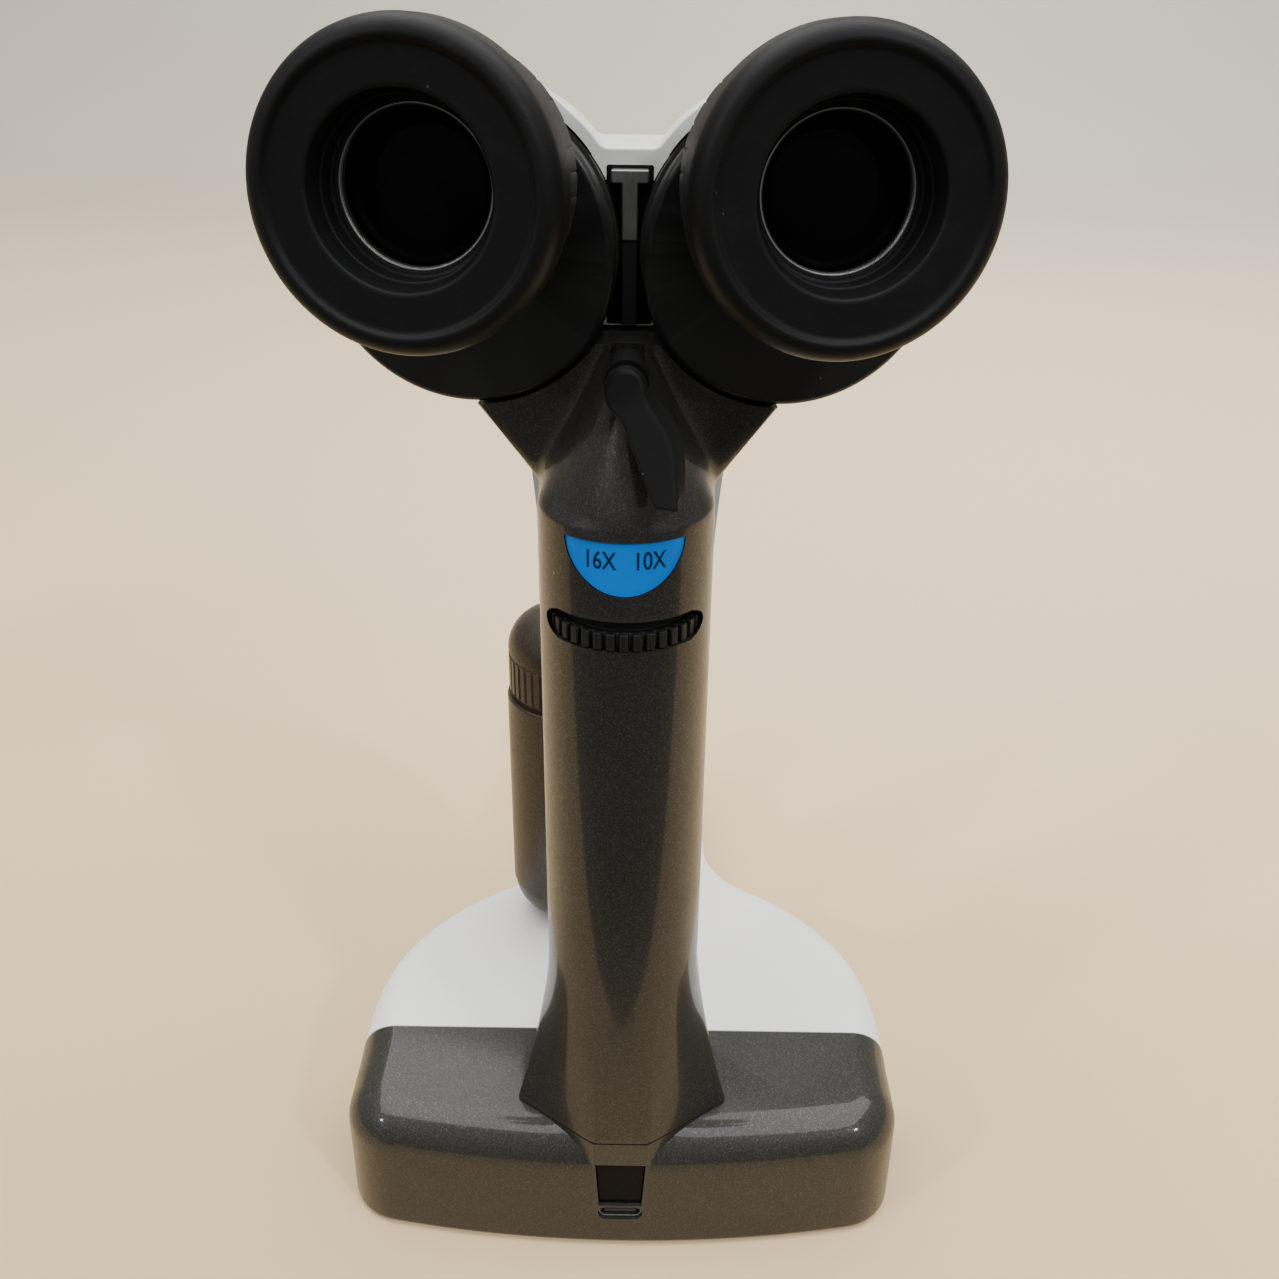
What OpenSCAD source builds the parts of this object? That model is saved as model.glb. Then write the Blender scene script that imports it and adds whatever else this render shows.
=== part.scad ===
// Handheld slit lamp standing in its charging stand.
// X points right, Y from the operator to the patient, Z up, in millimetres.
// The origin lies on the table, at the middle of the stand's round front.

/* [Stand] */
// Radius of the stand's round front
stand_r = 58; // [56:0.5:64]
// From the middle of the round front back to the rear face
stand_back = 33.6; // [31:0.1:38]
// Height of the stand
stand_h = 30; // [28:0.5:34]
// Radius of the bow of the rear face, seen from above
stand_bow_r = 270; // [200:5:400]
// Radius of the two rear corners, seen from above
stand_corner_r = 12; // [8:0.5:16]
// Radius of the rounded top edge at the back
stand_edge_r = 8; // [5:0.5:9]
// Radius of the rounded top edge at the front
front_edge_r = 3; // [2:0.5:4]
// Wall of the stand's shells
stand_wall = 2.4; // [2:0.1:3]
// Where the graphite rear shell meets the white front shell
seam_y = -1.5; // [-6:0.5:4]
// Width of the neck at the front of the stand
neck_w = 40; // [39:0.5:44]
// Radius of the hollow where the round front runs into the neck
neck_fillet_r = 18; // [14:1:22]
// Front end of the neck
neck_front = 74; // [66:1:84]
// Height of the channel's floor, in which the lamp stands
channel_z = 8; // [7.6:0.1:10]
// Thickness of the rubber pad under the stand
pad_t = 1.5; // [1:0.1:2]
// Thickness of the bottom plate
plate_t = 2; // [1.6:0.1:2.2]
// Radius of a stand screw's shank
screw_r = 1.2; // [1:0.1:1.5]
// Radius of a screw's head
screw_head_r = 2.5; // [2.2:0.1:2.8]

/* [Charging] */
// Width of the power inlet
inlet_w = 8.94; // [8.5:0.02:9.5]
// Height of the power inlet
inlet_h = 3.26; // [3:0.02:3.6]
// Middle height of the power inlet
inlet_z = 10.2; // [9.6:0.1:10.6]
// Width of the dark window at its top
window_w = 10.2; // [8:0.1:12]
// Lower edge of the dark window
window_z = 12.4; // [12.3:0.1:13]
// Upper edge of the dark window
window_top = 24.2; // [20:0.1:25]
// Radius of a sprung contact pin
contact_r = 1; // [0.8:0.1:1.4]
// Distance between the two contact pins
contact_gap = 9; // [7:0.5:12]

/* [Handle] */
// Radius of the handle's back
handle_r = 14.6; // [14:0.1:15.5]
// Radius of the handle's front corners
front_r = 10; // [9.6:0.1:10.6]
// From the handle's middle to the centre of a front corner
front_off = 5.2; // [5:0.1:6]
// Wall of the lamp's shells
wall = 2; // [1.6:0.1:2.2]
// Height where the foot begins to flare
flare_z = 60; // [54:1:66]
// Width of the foot at its widest
foot_w = 43.2; // [40:0.2:44]
// Width of the foot's ridge at the back
ridge_w = 11; // [9:0.2:13]
// From the prism housings' centres down to where the neck begins to widen
neck_drop = 39.1; // [37:0.1:43]
// Half of the shoulders' width, under the prism housings
shoulder_x = 26; // [24:0.5:27]
// Radius of the battery
battery_r = 9.2; // [8.8:0.1:9.4]
// Length of the battery
battery_len = 66; // [60:1:70]

/* [Lower arm] */
// Width of the lower arm, which stands in the channel
arm_w = 33; // [30:0.5:33.5]
// Height of the lower arm
arm_t = 20.9; // [18:0.1:21.2]
// From the handle's axis to the pivot under the patient's eye
pivot_reach = 140; // [130:1:150]
// Radius of the lower arm's round end
boss_r = 15; // [13:0.5:17]
// Radius of the pivot pin
pivot_r = 4; // [3:0.5:5]

/* [Thumbwheel] */
// Radius of the thumbwheel
wheel_r = 12.9; // [12:0.1:13]
// Thickness of the thumbwheel
wheel_t = 4.6; // [4:0.1:5]
// From the prism housings' centres down to the thumbwheel's middle
wheel_drop = 57.4; // [56:0.1:60]
// Number of ribs round the thumbwheel
wheel_ribs = 36; // [24:2:44]

/* [Magnification lever] */
// From the prism housings' centres down to the lever's pivot
lever_drop = 18.6; // [17.6:0.1:19.6]
// Length of the lever
lever_len = 16.3; // [15:0.1:18]
// Width of the lever
lever_w = 6.2; // [4.5:0.1:6.5]
// Angle from straight down to either stop
lever_angle = 23; // [20:0.5:24]
// Radius of the lever's shaft
shaft_r = 2; // [1.5:0.1:2.4]
// Sideways travel of the lens carriage
carriage_travel = 12.5; // [12:0.1:13]
// Radius of a carriage lens
power_lens_r = 5.5; // [5:0.1:5.6]

/* [Head] */
// From the handle's axis forward to the centres of the prism housings
drum_ahead = 8.6; // [7.5:0.1:9.5]
// From the middle to the centre of a prism housing
drum_x = 25.5; // [25.3:0.05:26]
// Height of the prism housings' centres
drum_z = 201.1; // [200:0.1:202]
// Angle at which each eye tube points outwards
diverge = 8.5; // [7:0.1:9.5]
// Angle at which the eye tubes rise towards the operator
incline = 3.5; // [3:0.1:4.5]
// Radius of a prism housing
drum_r = 25.15; // [24.5:0.05:25.2]
// Thickness of a prism housing
drum_t = 8; // [7:0.1:8.6]
// Sideways shift of the circle that trims a prism housing at its inner side
trim_x = 1.5; // [0.5:0.1:1.6]
// Downward shift of the circle that trims a prism housing at its top
trim_z = 2.3; // [0.5:0.1:2.4]
// Radius of the spigot on which a prism housing turns
spigot_r = 21; // [20:0.1:21.5]
// Radius of each lobe of the white head
head_r = 23.8; // [23:0.1:24]
// From the middle to the centre of a lobe
head_x = 24; // [23:0.1:24.5]
// Length of the white head
head_len = 31.5; // [30:0.1:32]
// From the prism housings' centres up to the flat bridge between the lobes
bridge_rise = 13.4; // [11:0.1:15]
// Radius of an objective ring
objective_r = 14; // [13:0.1:14.5]

/* [Eyepieces] */
// From a prism housing's axis to its eye tube's axis
eye_offset = 10; // [9:0.1:10.5]
// Radius of an eye tube
eye_tube_r = 15; // [14.5:0.1:15.5]
// Radius of a dioptre ring
dioptre_r = 19.6; // [19:0.1:20]
// Radius of an eyecup's rim
eyecup_r = 21.9; // [21:0.1:22.5]
// Radius of the hole in an eyecup
eyecup_hole_r = 12.9; // [12.5:0.1:13.5]
// Length of an eyecup
eyecup_len = 15.3; // [14.5:0.1:17]
// Radius of an eye lens
eye_lens_r = 11; // [10.4:0.1:11.4]

/* [Swing arm and tower] */
// From the front of the head to the tower's axis
tower_gap = 14.715; // [13:0.005:18]
// Angle of the swing arm to the left as it stands
swing_rest = 10; // [0:0.5:20]
// Radius of the lower tower
tower_r = 14; // [13:0.1:14.4]
// Height of the tower's underside
tower_z = 31; // [30.6:0.1:33]
// Height of the lower tower, up to the slit dial
tower_len = 60; // [56:0.5:64]
// Height of the slit dial
dial_h = 18; // [16:0.5:20]
// Number of ribs round the slit dial
dial_ribs = 40; // [24:4:48]
// Radius of the upper tube
upper_r = 6.2; // [5.8:0.1:6.6]
// From the prism housings' centres down to the mirror's middle
mirror_drop = 2.2; // [0:0.1:5]

/* [Clearances] */
// Gap between pieces that move past each other
play = 0.4; // [0.3:0.05:0.5]
// Gap between fixed pieces that meet
fit = 0.1; // [0.05:0.01:0.15]
// Radial clearance of a running shaft, spigot or ring
run = 0.05; // [0.02:0.01:0.08]

/* [Hidden] */
$fn = 96;
hull_fn = 32;
far = 200;
eps = 0.01;
neck_z = drum_z - neck_drop;
wheel_z = drum_z - wheel_drop;
lever_z = drum_z - lever_drop;
bridge_z = drum_z + bridge_rise;
mirror_z = drum_z - mirror_drop;
stand_floor = pad_t;
corner_x = stand_r - stand_corner_r;
bow_y = -stand_back + stand_bow_r;
bow_angle = asin(corner_x / (stand_bow_r - stand_corner_r));
corner_y = bow_y - (stand_bow_r - stand_corner_r) * cos(bow_angle);
cradle_wall = 2;
plug_rear = -stand_back + 10;
stand_board_x = 15;
stand_board_top = 22;
handle_y = -stand_back + handle_r + 1;
part_y = handle_y + 10;
front_c = handle_y + 11;
skirt_z = stand_h + 0.3;
foot_wide_y = handle_y - 3.7;
contact_block_x = 9;
contact_block_y = 4;
pin_depth = 3;
foot_contact_r = 2.5;
foot_contact_t = 0.9;
arm_bottom = channel_z + 0.6;
arm_top = min(arm_bottom + arm_t, stand_h - 0.5);
arm_cover_t = 2.4;
arm_straight_y = neck_front - 4;
brace_h = 24;
brace_len = 22;
pivot_y = handle_y + pivot_reach;
bush_wall = 2.5;
plate_top = stand_floor + plate_t;
neck_cx = neck_w / 2 + neck_fillet_r;
neck_cy = sqrt(pow(stand_r + neck_fillet_r, 2) - pow(neck_cx, 2));
neck_angle = atan2(neck_cy, neck_cx);
neck_corner_r = 5;
drum_y = handle_y + drum_ahead;
drum_front = 1 - drum_t;
collar_rear = drum_front - play;
collar_front = collar_rear - 4.2;
spigot_end = collar_front - 2.4;
drum_taper = 1;
collar_r = drum_r - drum_taper - 0.1;
collar_trim = 0.75;
head_rear = drum_y + 6.4;
head_front = head_rear + head_len;
head_bottom = drum_z - head_r;
block_front = head_rear + 5.6;
block_half = 9;
block_low = drum_z - 14.6;
bracket_t = 1.9;
ridge_top_z = lever_z + 3.6;
ridge_top_y = handle_y - 4;
ridge_slope = (ridge_top_y - handle_y + handle_r) / (ridge_top_z - neck_z - 2);
lever_hub_r = lever_w / 2 + 0.3;
lever_y = handle_y - handle_r + ridge_slope * (lever_z - lever_hub_r - neck_z - 1) - play - 0.2;
lever_tip_y = handle_y - handle_r - play - 0.1;
lever_t = 2.7;
chassis_y = drum_y + 21;
chassis_t = 2;
crank_y = chassis_y + chassis_t + play;
crank_t = 3;
carriage_y = crank_y + crank_t + play;
carriage_t = 3.4;
carriage_mid_x = -carriage_travel / 2;
rail_x = 40;
rail_off = power_lens_r + 3.6;
crank_r = carriage_travel / 2 / sin(lever_angle);
objective_len = 8;
objective_y = head_front - 6.5;
tube_len = 18.2;
ring_z = 9.2;
ring_h = 7.8;
neck_r = dioptre_r - 2.2;
lens_z = 20.6;
cup_seat_z = 24.1;
wheel_y = handle_y - 2.2;
wheel_low = wheel_z - wheel_t / 2;
slot_h = wheel_t + 2 * play;
slot_x = handle_r - 1.6;
label_low = wheel_z + 7;
label_h = 9.4;
label_r = 9.6;
swing_r = (pivot_y - head_front - tower_gap) / cos(swing_rest);
tower_x = -swing_r * sin(swing_rest);
tower_y = pivot_y - swing_r * cos(swing_rest);
dial_z = tower_z + tower_len + 1.6;
dial_r = tower_r - 0.5;
hub_z = arm_top + play;
hub_h = 14;
swing_bar_z = max(hub_z, tower_z) + 2;
head_mount_z = mirror_z - 12;
upper_wall = 1.4;
upper_foot = 6;
mirror_head_r = upper_r + 2.4;
mirror_head_h = 24;
mirror_window_x = 5.2;
mirror_window_h = 7;
mirror_len = 7;
board_x = 9;
board_back = 4.4;
board_foot = 10;
board_head = 8;
screw_head_h = 1.1;
screw_len = 11;
arm_screw_len = 8;
arm_screws = [front_c + 20, pivot_y - 24];
screw_boss_r = 3.4;
front_screw_r = stand_r - 9.2;
front_screw_a = 35;
screw_places = [[stand_r - 11, -stand_back + stand_corner_r + 3],
    [front_screw_r * cos(front_screw_a), front_screw_r * sin(front_screw_a)]];
ballast_x = stand_r * 0.55;
ballast_w = stand_r * 0.275;
ballast_len = stand_r * 0.76;
ballast_h = stand_h * 0.4;
heat_sink_z = tower_z + tower_len / 3;
heat_sink_h = tower_len * 0.267;
fin_pitch = heat_sink_h * 0.1875;
fin_t = 1.4;
led_z = heat_sink_z + heat_sink_h + fit;
condenser_z = tower_z + tower_len * 0.767;
condenser_t = 5;

// Places along an optical axis, at a distance y from the origin
function axis_x(y) = drum_x - (y - drum_y) * tan(diverge);
function axis_z(y) = drum_z - (y - drum_y) * tan(incline) / cos(diverge);

// Extrudes an outline of X and Z along Y
module along_y(from, to) {
    translate([0, to, 0]) rotate([90, 0, 0]) linear_extrude(to - from) children();
}

// A box from its low corner to its high corner
module box(low, high) {
    translate(low) cube(high - low);
}

// A tube with its foot at the origin
module tube(outer, inner, h) {
    difference() {
        cylinder(r = outer, h = h);
        translate([0, 0, -1]) cylinder(r = inner, h = h + 2);
    }
}

// A prism housing's own frame: its axis is +Z, towards the operator, and +Y is up
module on_drum(side) {
    translate([side * drum_x, drum_y, drum_z]) rotate([0, 0, side * diverge])
        rotate([-incline, 0, 0]) rotate([90, 0, 0]) children();
}

// Disc on a prism housing's axis, trimmed like the housing
module trimmed_disc(side, r, h) {
    intersection() {
        cylinder(r = r, h = h);
        translate([side * trim_x * collar_trim, -trim_z * collar_trim, -1]) cylinder(r = r, h = h + 2);
    }
}

// The eye tube's axis in the same frame
module on_eye(side) {
    on_drum(side) translate([0, eye_offset, 0]) children();
}

// The tower's own frame: its axis is +Z, and +Y points at the pivot
module on_tower() {
    translate([tower_x, tower_y, 0]) rotate([0, 0, -swing_rest]) children();
}

// Points on an arc, without its last one
function arc(x, y, r, from, to, steps) =
    [for (i = [0:steps - 1]) let (a = from + (to - from) * i / steps) [x + r * cos(a), y + r * sin(a)]];

// The same points on the left, in reverse, without the one at the start
function mirrored(p) = [for (i = [len(p) - 1:-1:1]) [-p[i][0], p[i][1]]];

// Right half of the stand's bowed back, seen from above, drawn in by g
function back_half(g) = concat(arc(0, bow_y, stand_bow_r - g, -90, bow_angle - 90, 8),
    arc(corner_x, corner_y, stand_corner_r - g, bow_angle - 90, 0, 10), [[stand_r - g, corner_y]]);

// Right half of the neck, which carries on from the round front under the lower arm
function neck_half(g) = concat(
    arc(neck_cx, neck_cy, neck_fillet_r + g, neck_angle - 180, -180, 8),
    [[neck_w / 2 - g, neck_cy]],
    arc(neck_w / 2 - neck_corner_r, neck_front - neck_corner_r, neck_corner_r - g, 0, 90, 6),
    [[neck_w / 2 - neck_corner_r, neck_front - g]]);

module back_plan(g) {
    right = concat(back_half(g), [[stand_r - g, 0]]);
    polygon(concat(right, mirrored(right)));
}

module round_front(g) {
    polygon(concat(arc(0, 0, stand_r - g, 0, 180, 40), [[-stand_r + g, 0]]));
}

module neck_plan(g) {
    right = concat([[0, 0]], neck_half(g));
    polygon(concat(right, mirrored(right)));
}

module stand_plan(g) {
    right = concat(back_half(g), arc(0, 0, stand_r - g, 0, neck_angle, 12), neck_half(g));
    polygon(concat(right, mirrored(right)));
}

// Stand's outer form, drawn in by g, with its rounded top edge
module stand_form(g) {
    top = stand_h - g - stand_floor;
    translate([0, 0, stand_floor]) {
        hull() {
            for (a = [0:22.5:90]) {
                linear_extrude(top - stand_edge_r * (1 - sin(a))) back_plan(g + stand_edge_r * (1 - cos(a)));
                linear_extrude(top - front_edge_r * (1 - sin(a))) round_front(g + front_edge_r * (1 - cos(a)));
            }
        }
        linear_extrude(top - 1) neck_plan(g);
        linear_extrude(top) neck_plan(g + 1);
    }
}

// The channel in which the lamp's foot and lower arm stand, with gap g
module channel(g, floor_z) {
    box([-arm_w / 2 - g, plug_rear - g, floor_z], [arm_w / 2 + g, far, stand_h + far]);
}

// Both shells of the stand, as one hollow form
module stand_shells() {
    difference() {
        union() {
            stand_form(0);
            translate([0, 0, stand_floor]) linear_extrude(stand_h - stand_floor) stand_saddle();
        }
        difference() {
            union() {
                stand_form(stand_wall);
                linear_extrude(stand_floor + eps) stand_plan(stand_wall);
            }
            channel(play + cradle_wall, channel_z - cradle_wall);
            for (p = screw_places, s = [-1, 1]) translate([s * p[0], p[1], plate_top + fit])
                cylinder(r = screw_boss_r, h = stand_h - 1 - plate_top);
        }
        channel(play, channel_z);
        translate([0, 0, stand_floor]) linear_extrude(plate_t + fit) stand_plan(stand_wall - eps);
        for (p = screw_places, s = [-1, 1]) translate([s * p[0], p[1], 0])
            cylinder(r = screw_r + run, h = stand_floor + screw_len + 1.5);
    }
}

// Ground under the foot's ridge, which fills the rounded edge of the stand's back
module stand_saddle() {
    polygon([[-foot_w / 2, foot_wide_y], [-ridge_w / 2, -stand_back], [ridge_w / 2, -stand_back],
        [foot_w / 2, foot_wide_y], [foot_w / 2, handle_y], [-foot_w / 2, handle_y]]);
}

// Window in the stand's back, tapering downwards, drawn in by g
module window_shape(g, from, to) {
    along_y(from, to) polygon([[-window_w / 2 + 0.7 + g, window_z + g], [window_w / 2 - 0.7 - g, window_z + g],
        [window_w / 2 - g, window_top - g], [-window_w / 2 + g, window_top - g]]);
}

module inlet_shape(g, from, to) {
    r = inlet_h / 2 + g;
    along_y(from, to) {
        for (s = [-1, 1]) translate([s * (inlet_w - inlet_h) / 2, inlet_z]) circle(r = r);
        translate([-(inlet_w - inlet_h) / 2, inlet_z - r]) square([inlet_w - inlet_h, 2 * r]);
    }
}

module stand_rear_shell() {
    color([0.25, 0.24, 0.22]) difference() {
        stand_shells();
        box([-far, seam_y - fit / 2, -1], [far, far, far]);
        window_shape(0, -stand_back - 1, -stand_back + stand_wall + 2);
        inlet_shape(fit, -stand_back - 1, -stand_back + stand_wall + 1);
        contact_hole(fit);
    }
}

module stand_front_shell() {
    color([0.88, 0.87, 0.85]) difference() {
        stand_shells();
        box([-far, -far, -1], [far, seam_y + fit / 2, far]);
    }
}

module stand_bottom_plate() {
    color([0.1, 0.1, 0.1]) difference() {
        translate([0, 0, stand_floor]) linear_extrude(plate_t) stand_plan(stand_wall + fit);
        for (p = screw_places, s = [-1, 1]) translate([s * p[0], p[1], 0]) {
            cylinder(r = screw_r + run, h = far);
            translate([0, 0, stand_floor - 1]) cylinder(r = screw_head_r + fit, h = 1 + screw_head_h + fit);
        }
    }
}

module base_pad() {
    color([0.06, 0.06, 0.06]) linear_extrude(pad_t) stand_plan(3);
}

module stand_ballast() {
    color([0.45, 0.45, 0.47]) for (s = [-1, 1])
        translate([s * ballast_x - ballast_w / 2, plug_rear + 4, plate_top + fit])
            cube([ballast_w, ballast_len, ballast_h]);
}

module stand_screws() {
    color([0.6, 0.6, 0.62]) for (p = screw_places, s = [-1, 1]) translate([s * p[0], p[1], 0]) {
        translate([0, 0, stand_floor + fit]) cylinder(r = screw_head_r, h = screw_head_h - fit);
        translate([0, 0, stand_floor + 1]) cylinder(r = screw_r, h = screw_len);
    }
}

module stand_board() {
    color([0.05, 0.3, 0.15]) box([-stand_board_x, plug_rear - play - cradle_wall - 1.5, plate_top + 0.4],
        [stand_board_x, plug_rear - play - cradle_wall - 0.3, stand_board_top]);
}

module charge_inlet() {
    back = plug_rear - play - cradle_wall - 1.6;
    color([0.7, 0.7, 0.72]) difference() {
        inlet_shape(0, -stand_back + 0.1, back);
        inlet_shape(-0.35, -stand_back - 1, back - 0.6);
    }
    color([0.1, 0.1, 0.1]) box([-3.3, -stand_back + 0.8, inlet_z - 0.35], [3.3, back - 0.5, inlet_z + 0.35]);
}

module charge_window() {
    color([0.02, 0.02, 0.03]) window_shape(fit, -stand_back + 0.6, -stand_back + stand_wall);
}

// The opening in the channel's floor for the contact block, with gap g
module contact_hole(g) {
    box([-contact_block_x - g, handle_y - contact_block_y - g, plate_top],
        [contact_block_x + g, handle_y + contact_block_y + g, channel_z + 1]);
}

module contact_block() {
    color([0.08, 0.08, 0.08]) difference() {
        box([-contact_block_x, handle_y - contact_block_y, plate_top + fit],
            [contact_block_x, handle_y + contact_block_y, channel_z - fit]);
        for (s = [-1, 1]) translate([s * contact_gap / 2, handle_y, plate_top + 1])
            cylinder(r = contact_r + run, h = far);
    }
}

module spring_pins() {
    color([0.85, 0.65, 0.3]) for (s = [-1, 1])
        translate([s * contact_gap / 2, handle_y, arm_bottom - fit - pin_depth])
            cylinder(r = contact_r, h = pin_depth);
}

// Handle's back, seen from above, drawn in by g
module rear_plan(g) {
    intersection() {
        translate([0, handle_y]) circle(r = handle_r - g);
        translate([-far, -far - handle_r]) square([2 * far, far + handle_r + part_y - fit / 2]);
    }
    translate([-handle_r + g, handle_y]) square([2 * (handle_r - g), part_y - handle_y - fit / 2]);
}

// Handle's front, seen from above, drawn in by g
module front_plan(g) {
    r = front_r - g;
    for (s = [-1, 1]) intersection() {
        translate([s * front_off, front_c]) circle(r = r);
        translate([-far, part_y + fit / 2]) square([2 * far, far]);
    }
    translate([-front_off, part_y + fit / 2]) square([2 * front_off, front_c + r - part_y - fit / 2]);
    translate([-front_off - r, part_y + fit / 2])
        square([2 * (front_off + r), front_c - part_y - fit / 2]);
}

// Shoulders that widen from the handle to the prism housings, larger by g
module shoulders(g) {
    hull() {
        translate([0, 0, neck_z - g]) linear_extrude(1) rear_plan(-g, $fn = hull_fn);
        box([-shoulder_x - g, drum_y - 3.6 - g, drum_z - 24],
            [shoulder_x + g, drum_y + 11.4 + g, drum_z - 15 + g]);
    }
}

// Middle ridge that runs up between the prism housings
module ridge(g) {
    hull() {
        translate([0, 0, neck_z]) linear_extrude(1) rear_plan(g, $fn = hull_fn);
        translate([0, 0, ridge_top_z - 1 - g]) linear_extrude(1) intersection() {
            translate([0, ridge_top_y + 8]) circle(r = 8 - g, $fn = hull_fn);
            translate([-3.6 + g, ridge_top_y]) square([7.2 - 2 * g, 14]);
        }
    }
}

module rear_shell() {
    color([0.27, 0.26, 0.24]) difference() {
        union() {
            translate([0, 0, skirt_z]) linear_extrude(neck_z + 1 - skirt_z) rear_plan(0);
            hull() {
                translate([0, 0, flare_z]) linear_extrude(1) rear_plan(0, $fn = hull_fn);
                translate([0, 0, skirt_z]) linear_extrude(0.6) foot_plan();
            }
            shoulders(0);
            ridge(0);
            for (s = [-1, 1]) on_drum(s) translate([0, 0, collar_front])
                trimmed_disc(s, collar_r, collar_rear - collar_front);
        }
        translate([0, 0, skirt_z - 1]) linear_extrude(neck_z - 3 - skirt_z + 1) rear_plan(wall);
        translate([0, 0, neck_z - 4.5]) linear_extrude(14) intersection() {
            rear_plan(wall + 2);
            translate([-8, handle_y - 8]) square([16, 40]);
        }
        box([-9, handle_y + 4, neck_z - 5], [9, far, drum_z - 18]);
        for (s = [-1, 1]) on_drum(s) {
            translate([0, 0, collar_rear]) cylinder(r = drum_r + play, h = 24);
            translate([0, 0, collar_front - 12]) cylinder(r = spigot_r + run, h = 60);
        }
        bracket_shape(fit, drum_y);
        wheel_space();
        label_space(0, handle_r - 0.8, handle_r + 3);
        translate([0, lever_y, lever_z]) rotate([-90, 0, 0]) cylinder(r = shaft_r + 1.5 + run, h = far);
    }
}

// Foot of the handle, seen from above
module foot_plan() {
    polygon([[-foot_w / 2, foot_wide_y], [-ridge_w / 2, -stand_back + 0.1],
        [ridge_w / 2, -stand_back + 0.1], [foot_w / 2, foot_wide_y],
        [foot_w / 2 - 3, part_y - fit / 2], [-foot_w / 2 + 3, part_y - fit / 2]]);
}

// Slot and pocket of the thumbwheel
module wheel_space() {
    translate([0, 0, wheel_z - slot_h / 2]) {
        translate([-slot_x + slot_h / 2, -far, 0]) cube([2 * slot_x - slot_h, far + wheel_y, slot_h]);
        translate([0, wheel_y, 0]) cylinder(r = wheel_r + play, h = slot_h);
    }
    for (s = [-1, 1]) translate([s * (slot_x - slot_h / 2), wheel_y, wheel_z]) rotate([90, 0, 0])
        cylinder(r = slot_h / 2, h = far);
}

// Half-round place of the label in the handle's back: outline larger by g, from radius low to high
module label_space(g, low, high) {
    intersection() {
        along_y(-far, handle_y) intersection() {
            translate([0, label_low + label_r]) circle(r = label_r + g);
            translate([-far, 0]) square([2 * far, label_low + label_h + g]);
        }
        translate([0, handle_y, label_low - 4]) tube(high, low, label_h + 8);
    }
}

module scale_label() {
    color([0, 0.45, 0.8]) label_space(-fit, handle_r - 0.8 + fit, handle_r - 0.3);
}

// White head, seen from the back, drawn in by g
module head_outline(g) {
    for (s = [-1, 1]) translate([s * head_x, drum_z]) circle(r = head_r - g);
    translate([-12, drum_z - 10]) square([24, bridge_z - g - drum_z + 10]);
    translate([-head_x, head_bottom + g]) square([2 * head_x, head_r]);
}

module head_shell() {
    color([0.88, 0.87, 0.85]) difference() {
        union() {
            difference() {
                along_y(head_rear, head_front) head_outline(0);
                along_y(head_rear - 1, head_front - wall) head_outline(wall);
            }
            box([-block_half, head_rear, block_low], [block_half, block_front, bridge_z - wall / 2]);
        }
        shoulders(fit);
        bracket_shape(fit, drum_y);
        for (s = [-1, 1]) {
            on_drum(s) {
                translate([0, 0, collar_front - fit])
                    trimmed_disc(s, collar_r + fit, collar_rear - collar_front + 2 * fit);
                translate([0, 0, collar_rear]) cylinder(r = drum_r + play, h = 60);
                translate([0, 0, spigot_end - play]) cylinder(r = spigot_r + play, h = 60);
            }
            translate([s * axis_x(objective_y), 0, axis_z(objective_y)]) rotate([-90, 0, 0])
                cylinder(r = objective_r + run, h = far);
        }
        box([-10, block_front + 2, head_bottom - 1], [10, head_front - 8, head_bottom + wall + 1]);
    }
}

// Lower arm, seen from above, drawn in by g
module arm_plan(g) {
    w = arm_w / 2 - g;
    polygon([[-w, part_y + fit / 2 + g], [w, part_y + fit / 2 + g], [w, arm_straight_y],
        [boss_r - g, pivot_y], [-boss_r + g, pivot_y], [-w, arm_straight_y]]);
    translate([0, pivot_y]) circle(r = boss_r - g);
}

module front_shell() {
    color([0.88, 0.87, 0.85]) difference() {
        union() {
            translate([0, 0, arm_top - 1]) linear_extrude(head_bottom - fit - arm_top + 1) front_plan(0);
            translate([0, 0, arm_bottom + arm_cover_t + fit])
                linear_extrude(arm_top - arm_bottom - arm_cover_t - fit) arm_plan(0);
            hull() {
                translate([0, 0, stand_h + brace_h]) linear_extrude(1) front_plan(0, $fn = hull_fn);
                box([-arm_w / 2 + 1, part_y + fit / 2, arm_top - 1], [arm_w / 2 - 1, front_c + brace_len, arm_top]);
            }
            hull() {
                translate([0, 0, neck_z - 14]) linear_extrude(1) front_plan(0, $fn = hull_fn);
                box([-18, part_y + fit / 2, head_bottom - fit - 1], [18, head_front - 3, head_bottom - fit]);
            }
        }
        translate([0, 0, arm_top - 6]) linear_extrude(neck_z - arm_top) front_plan(wall);
        linear_extrude(arm_top - wall) difference() {
            arm_plan(wall);
            translate([0, pivot_y]) circle(r = pivot_r + bush_wall + 3);
        }
        hull() {
            translate([0, 0, neck_z - 13]) linear_extrude(1) front_plan(wall + 1, $fn = hull_fn);
            box([-10, part_y + 1, head_bottom - 1], [10, head_front - 8, head_bottom + 1]);
        }
        translate([0, pivot_y, 0]) cylinder(r = pivot_r + bush_wall + run, h = far);
        shoulders(fit);
        wheel_space();
    }
}

module arm_cover() {
    color([0.85, 0.84, 0.82]) difference() {
        translate([0, 0, arm_bottom]) linear_extrude(arm_cover_t) arm_plan(0);
        translate([0, pivot_y, 0]) cylinder(r = pivot_r + bush_wall + run, h = far);
        for (y = arm_screws) translate([0, y, 0]) {
            cylinder(r = screw_r + run, h = far);
            cylinder(r = screw_head_r + fit, h = arm_bottom + screw_head_h + fit);
        }
    }
}

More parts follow.
